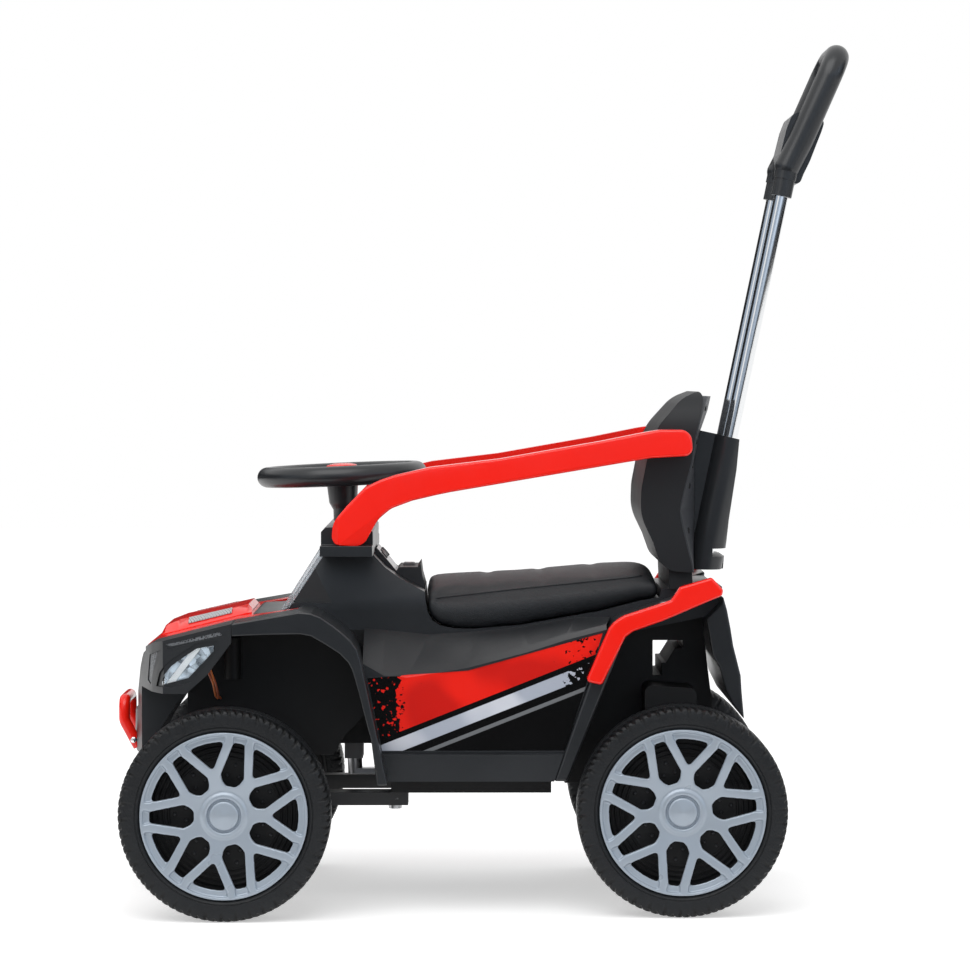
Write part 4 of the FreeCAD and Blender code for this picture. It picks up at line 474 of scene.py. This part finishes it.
# The openings between the walls are painted dark: painted shade inside the holes of the mesh.
wall.colours((0.05, 0.051, 0.054), (0.56, 0.57, 0.59)).into(mesh_shader, "Base Color")
(0.45 + 0.1 * mesh_place.noise(60.0)).into(mesh_shader, "Roughness")
wall.bump(0.0006, 0.8).into(mesh_shader, "Normal")
skin("hood_vents", mesh_grey, 0.0004)
skin("bull_bar", red, 0.0, 40.0)
lead, lead_shader, lead_place = finish("lead_skin")
strand = lead_place.math("FRACT", 180.0 * lead_place.part(0)).between(0.4, 0.6)
strand.colours((0.50, 0.13, 0.03), (0.30, 0.06, 0.02)).into(lead_shader, "Base Color")
(0.35 + 0.1 * lead_place.noise(300.0)).into(lead_shader, "Roughness")
skin("lamp_leads", lead, 0.0, 40.0)
bright, bright_shader, bright_place = finish("bright_plate", Metallic=1.0,
                                             Base_Color=(0.78, 0.79, 0.80))
(0.05 + 0.07 * bright_place.noise(25.0, 3.0)).into(bright_shader, "Roughness")
SCREW = [(0, 0.0022), (0.0016, 0.0021), (0.0031, 0.0014), (0.0036, 0.0003), (0.0036, -0.001),
         (0, -0.001)]
hoop_ends = [(-0.3835, -0.0438, 0.1735), (-0.3835, 0.0438, 0.1735)]
mesh = turned("hoop_screws", hoop_ends, [(0, -1, 0), (0, 1, 0)], SCREW)
placed("hoop_screws", mesh, bright, "chassis")


# Console top: clear screen, black collar under the guard bars, and the dash with its
# silver facing, small keys, push button and rocker.

pale, pale_shader, pale_place = finish("screen_moulding", Transmission_Weight=0.75, IOR=1.3)
pale_place.noise(12.0).colours((0.72, 0.76, 0.80), (0.84, 0.87, 0.90)).into(pale_shader, "Base Color")
(0.12 + 0.08 * pale_place.noise(30.0)).into(pale_shader, "Roughness")
skin("windscreen", pale, 0.0006)
skin("console_collar", black, 0.0018, 28.0, 3)
dash, dash_shader, dash_place = finish("dash_moulding", Specular_IOR_Level=0.5)
upper, lower = side_view((0.324, 1.015), (0.353, 0.955))
depth = left_of(dash_place, lower, upper)
facing = depth.between(0.0008, 0.0005) * (1 - abs(dash_place.part(1)).between(0.0425, 0.043))
facing = facing * depth.between(-0.0012, -0.0008)
tone = dash_place.noise(9.0, 3.0).colours(*BLACKS)
facing.colours(tone, (0.52, 0.53, 0.54)).into(dash_shader, "Base Color")
(0.45 + 0.1 * dash_place.noise(23.0, 4.0) - 0.15 * facing).into(dash_shader, "Roughness")
(0.7 * facing).into(dash_shader, "Metallic")
dash_place.noise(1500.0, 1.0).bump(0.0001, 0.5).into(dash_shader, "Normal")
skin("dash_panel", dash, 0.0012, 30.0, 2)
face = np.array([upper[0] + lower[0], 0, upper[1] + lower[1]]) / 2
slope = np.array([lower[0] - upper[0], 0, lower[1] - upper[1]])
slope = slope / np.linalg.norm(slope)
face_out = np.array([-slope[2], 0, slope[0]])
KEY = [(0, 0.0018), (0.0036, 0.0017), (0.0044, 0.0012), (0.0046, -0.0005), (0, -0.0005)]
key_sides = np.array([-0.030, -0.014, 0.002])[:, None]
key_drops = np.array([0.001, -0.0015, 0.001])[:, None]
keys = face + key_sides * np.array([0, 1.0, 0]) + key_drops * slope
mesh = turned("dash_keys", keys, face_out, KEY)
placed("dash_keys", mesh, black, "chassis")
skin("power_button", grey, 0.0006)
skin("direction_rocker", grey, 0.0008)


# Steering wheel: a black plastic rim on three spokes, with a red push cap in the hub.

skin("steering_wheel", black, 0.0015, 35.0, 3)
skin("horn_cap", red, 0.001, 30.0, 3)


# Guard bars: hollow red mouldings that clip into the collar and the backrest.

for side in ("left", "right"):
    skin("guard_bar_" + side, red, 0.0015, 28.0, 3)


# Backrest and push handle: two moulded halves screwed together from behind, a socket for
# the handle, two plated tubes and a looped black grip.

back_black = moulded("back_black", (0.010, 0.011, 0.0125), (0.016, 0.0175, 0.020), 0.52, 0.00008, 0.3)
skin("backrest_front", back_black, 0.0025, 28.0, 3)
# The rear half is painted a lighter dark grey than the front half's black: painted light on the
# slanted rear plate.
lit_cover_black = moulded("lit_cover_black", (0.040, 0.043, 0.050), (0.055, 0.058, 0.066), 0.46, 0.0001)
skin("backrest_rear", lit_cover_black, 0.002, 28.0, 3)
skin("tube_holder", black, 0.002, 28.0, 3)
skin("handle_grip", black, 0.001, 35.0)
skin("handle_tubes", bright, 0.0005)
well_rise = np.array([1.594, 1.459, 1.3615, 1.276, 1.093])
seam = np.array([(1.040, 0.926), (1.0375, 0.958), (1.018, 1.099), (1.009, 1.178), (1.023, 1.284),
                 (1.0375, 1.381), (1.045, 1.478), (1.060, 1.584), (1.066, 1.641)])
back_line = np.array([1.051, 1.051, 1.051, 1.051, 1.051, 1.051, 1.0605, 1.081, 1.088])
COVER_RIM_HALF, COVER_BACK_HALF, COVER_LAP = 0.104, 0.058, 0.002
WELL_SHARE = 0.4
WELL = [(0, 0.0002), (0.0022, 0.0002), (0.0025, 0.0007), (0.0031, 0.0007), (0.0035, 0.0002),
        (0.0035, -0.002), (0, -0.002)]
rim_x = BODY_FRONT + BODY_LENGTH * np.interp(well_rise, seam[:, 1], seam[:, 0]) + COVER_LAP
line_x = BODY_FRONT + BODY_LENGTH * np.interp(well_rise, seam[:, 1], back_line)
well_x = (1 - WELL_SHARE) * rim_x + WELL_SHARE * line_x
well_y = -(1 - WELL_SHARE) * COVER_RIM_HALF - WELL_SHARE * COVER_BACK_HALF
wells = np.stack([well_x, np.full_like(well_x, well_y), BODY_FOOT + BODY_RISE * well_rise], -1)
wells_out = np.stack([np.full_like(well_x, COVER_RIM_HALF - COVER_BACK_HALF), rim_x - line_x,
                      np.zeros_like(well_x)], -1)
flip = np.array([1, -1, 1])
wells, wells_out = np.vstack([wells, wells * flip]), np.vstack([wells_out, wells_out * flip])
# The wells are near black, darker than the cover round them: painted shade in the screw holes.
mesh = turned("cover_screw_wells", wells, wells_out, WELL, 16)
placed("cover_screw_wells", mesh, inner_black, "chassis")


# Seat: a foam saddle under black imitation leather. The skin is blown up tight over the
# foam, a welt is sewn along each side, and three sewn channels cross the top.

hide, hide_shader, hide_place = finish("imitation_leather", Specular_IOR_Level=0.45)
crack = hide_place.cells(620.0).between(0.0, 0.18)
tone = hide_place.noise(30.0, 3.0).colours((0.009, 0.011, 0.0135), (0.015, 0.0175, 0.021))
tone.into(hide_shader, "Base Color")
(0.52 - 0.12 * crack + 0.06 * hide_place.noise(45.0)).into(hide_shader, "Roughness")
(crack + 0.4 * hide_place.noise(2200.0)).bump(0.0003, 0.5).into(hide_shader, "Normal")
points, triangles = corners_of("seat_pad")
middle = (points.min(0) + points.max(0)) / 2
SLACK_SHARES = (0.998, 0.985, 0.97)
mesh = bpy.data.meshes.new("seat_cushion")
mesh.from_pydata(middle + (points - middle) * SLACK_SHARES, [], triangles)
seat = bpy.data.objects.new("seat_cushion", mesh)
bpy.context.scene.collection.objects.link(seat)
coarse = seat.modifiers.new("even", "REMESH")
coarse.mode = "VOXEL"
coarse.voxel_size = 0.0045


def settled(piece):
    """Gives a piece the mesh that its modifiers make, and takes the modifiers off."""
    view = bpy.context.evaluated_depsgraph_get()
    mesh = bpy.data.meshes.new_from_object(piece.evaluated_get(view))
    piece.modifiers.clear()
    piece.data = mesh
    found = np.empty(3 * len(mesh.vertices))
    mesh.vertices.foreach_get("co", found)
    return found.reshape(-1, 3)


start = settled(seat)
swollen = start
cloth = seat.modifiers.new("skin", "CLOTH")
cloth.settings.use_pressure = True
cloth.settings.uniform_pressure_force = 4.0
cloth.settings.effector_weights.gravity = 0
for step in range(1, 21):
    bpy.context.scene.frame_set(step)
swollen = settled(seat)
bpy.context.scene.frame_set(1)
move = swollen - start
reach = np.linalg.norm(move, axis=1, keepdims=True)
WELT_SLOPE, SIDE_SWELL, TOP_SWELL, SWELL_FADE = 0.1057, 0.0008, 0.0014, 0.012
CHANNEL_HALF, CHANNEL_DEPTH, CHANNEL_FADE = 0.0042, 0.0014, 0.008
welt_line = 0.331 + WELT_SLOPE * (start[:, :1] + 0.059)
upper = np.clip((start[:, 2:] - welt_line + SWELL_FADE) / SWELL_FADE, 0, 1)
cap = SIDE_SWELL + TOP_SWELL * upper
formed = start + move * np.minimum(1, cap / np.maximum(reach, 1e-9))
top = np.clip((formed[:, 2:] - welt_line) / CHANNEL_FADE, 0, 1)
channels = np.array([x for x, z in side_view((0.58, 0), (0.70, 0), (0.82, 0))])
pull = np.exp(-((formed[:, :1] - channels) / CHANNEL_HALF) ** 2).sum(1, keepdims=True)
formed = formed - top * pull * np.array([0, 0, CHANNEL_DEPTH])
seat.data.vertices.foreach_set("co", formed.ravel())
seat.data.update()
seat.data.materials.append(hide)
seat.data.shade_smooth()
finer = seat.modifiers.new("fine", "SUBSURF")
finer.levels = finer.render_levels = 1
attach(seat, "chassis")
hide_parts("seat_pad")


def swept(name, path, radius, sides=8):
    """Round bar along a path: at each point a circle stands across the path's direction, and
    the last circles shrink to close the ends."""
    ahead = np.gradient(path, axis=0)
    ahead = ahead / np.linalg.norm(ahead, axis=1, keepdims=True)
    across = np.cross(ahead, [0.0, 1.0, 0.0])
    across = across / np.linalg.norm(across, axis=1, keepdims=True)
    turn = np.linspace(0, math.tau, sides, endpoint=False)[None, :, None]
    ring = np.cos(turn) * across[:, None] + np.sin(turn) * np.cross(ahead, across)[:, None]
    step = np.arange(len(path))
    size = radius * np.minimum(1, np.minimum(step, step[::-1]))[:, None, None]
    return net(name, path[:, None] + size * ring, False, True)


hull = BVHTree.FromObject(seat, bpy.context.evaluated_depsgraph_get())
WELT_RADIUS, WELT_PROUD, BESIDE = 0.0012, 0.0002, 0.2
run = np.linspace(-0.052, 0.172, 90)
rise = 0.3318 + WELT_SLOPE * (run + 0.052)
for side, out in (("left", -1), ("right", 1)):
    inward = Vector((0, -out, 0))
    hits = [hull.ray_cast(Vector((x, out * BESIDE, z)), inward)[0] for x, z in zip(run, rise)]
    path = np.array([tuple(h) for h in hits if h]) + np.array([0, out * WELT_PROUD, 0])
    mesh = swept("seat_welt_" + side, path, WELT_RADIUS)
    placed("seat_welt_" + side, mesh, hide, "chassis")


# Studio: a white floor that keeps the soft shadows, an even white surround with screens that
# only the gloss sees, dark below and pale above, one broad lamp, and the camera.

def in_sight(ray):
    """1 for a ray from the camera, off a gloss or through a clear piece, and 0 for other rays."""
    kinds = ray.output.node.outputs
    glossy, through = (Socket(ray.tree, kinds[k]) for k in ("Is Glossy Ray", "Is Transmission Ray"))
    return ray.most(glossy).most(through)


white, white_shader, white_place = finish("studio_floor", Base_Color=(0.86, 0.86, 0.86), Roughness=0.9,
                                          Specular_IOR_Level=0.0, Emission_Strength=0.45)
seen = in_sight(white_place.node("ShaderNodeLightPath"))
seen.colours((0, 0, 0), (1, 1, 1)).into(white_shader, "Emission Color")


def sheet(name, corners, material):
    """Flat four-cornered piece of the studio."""
    mesh = bpy.data.meshes.new(name)
    mesh.from_pydata(corners, [], [(0, 1, 2, 3)])
    mesh.materials.append(material)
    piece = bpy.data.objects.new(name, mesh)
    bpy.context.scene.collection.objects.link(piece)
    return piece


sheet("floor", [(-9, -9, 0), (9, -9, 0), (9, 9, 0), (-9, 9, 0)], white)
dark, dark_shader, dark_place = finish("dark_screen", Roughness=1.0, Specular_IOR_Level=0.0,
                                       Emission_Strength=0.6)
lit = dark_place.part(2).between(0.15, 0.95) * (0.45 + 0.55 * dark_place.part(0).between(-1.0, 2.5))
lit = lit * (1 - dark_place.part(1).between(-1.0, 0.5))
lit.colours((0.03, 0.031, 0.034), (0.70, 0.78, 0.88)).into(dark_shader, "Base Color")
lit.colours((0, 0, 0), (0.62, 0.78, 1.0)).into(dark_shader, "Emission Color")
TALL, LOW = 2.4, 0.003
SCREENS = {"back": [(-2.7, -5.0, 0), (4.2, -5.0, 0), (4.2, -5.0, TALL), (-2.7, -5.0, TALL)],
           "left": [(-4.8, 4.0, 0), (-4.8, -4.0, 0), (-4.8, -4.0, TALL), (-4.8, 4.0, TALL)],
           "right": [(4.2, -5.0, 0), (4.8, 2.6, 0), (4.8, 2.6, TALL), (4.2, -5.0, TALL)],
           "far": [(-0.6, 5.0, 0), (-4.8, 4.0, 0), (-4.8, 4.0, TALL), (-0.6, 5.0, TALL)],
           "front": [(-3.0, -5.0, LOW), (2.4, -5.0, LOW), (1.2, -0.75, LOW), (-3.0, -0.75, LOW)]}
for name, corners in SCREENS.items():
    screen = sheet("dark_screen_" + name, corners, dark)
    screen.visible_camera = screen.visible_diffuse = False
    screen.visible_shadow = screen.visible_transmission = False
world = bpy.data.worlds.new("surround")
bpy.context.scene.world = world
world.use_nodes = True
sky = world.node_tree.nodes["Background"]
ray = world.node_tree.nodes.new("ShaderNodeLightPath")
seen = in_sight(Socket(world.node_tree, ray.outputs["Is Camera Ray"]))
(0.72 + 0.28 * seen).into(sky, "Strength")
sky.inputs["Color"].default_value = (1, 1, 1, 1)
lamp = bpy.data.objects.new("softbox", bpy.data.lights.new("softbox", "AREA"))
lamp.data.size = 2.8
lamp.data.energy = 52
lamp.location = (-0.6, -1.8, 2.9)
lamp.rotation_euler = (Vector((0, 0, 0.3)) - lamp.location).to_track_quat("-Z", "Y").to_euler()
bpy.context.scene.collection.objects.link(lamp)
camera = bpy.data.objects.new("camera", bpy.data.cameras.new("camera"))
camera.location = (-0.0205, -3.693, 0.5675)
camera.rotation_euler = Vector((0.00599, 1, -0.03145)).to_track_quat("-Z", "Y").to_euler()
SENSOR, FOCAL_PIXELS, PICTURE_PIXELS = 36, 3339, 970
camera.data.sensor_width = SENSOR
camera.data.lens = SENSOR * FOCAL_PIXELS / PICTURE_PIXELS
bpy.context.scene.collection.objects.link(camera)
bpy.context.scene.camera = camera
bpy.context.scene.view_settings.view_transform = "Standard"
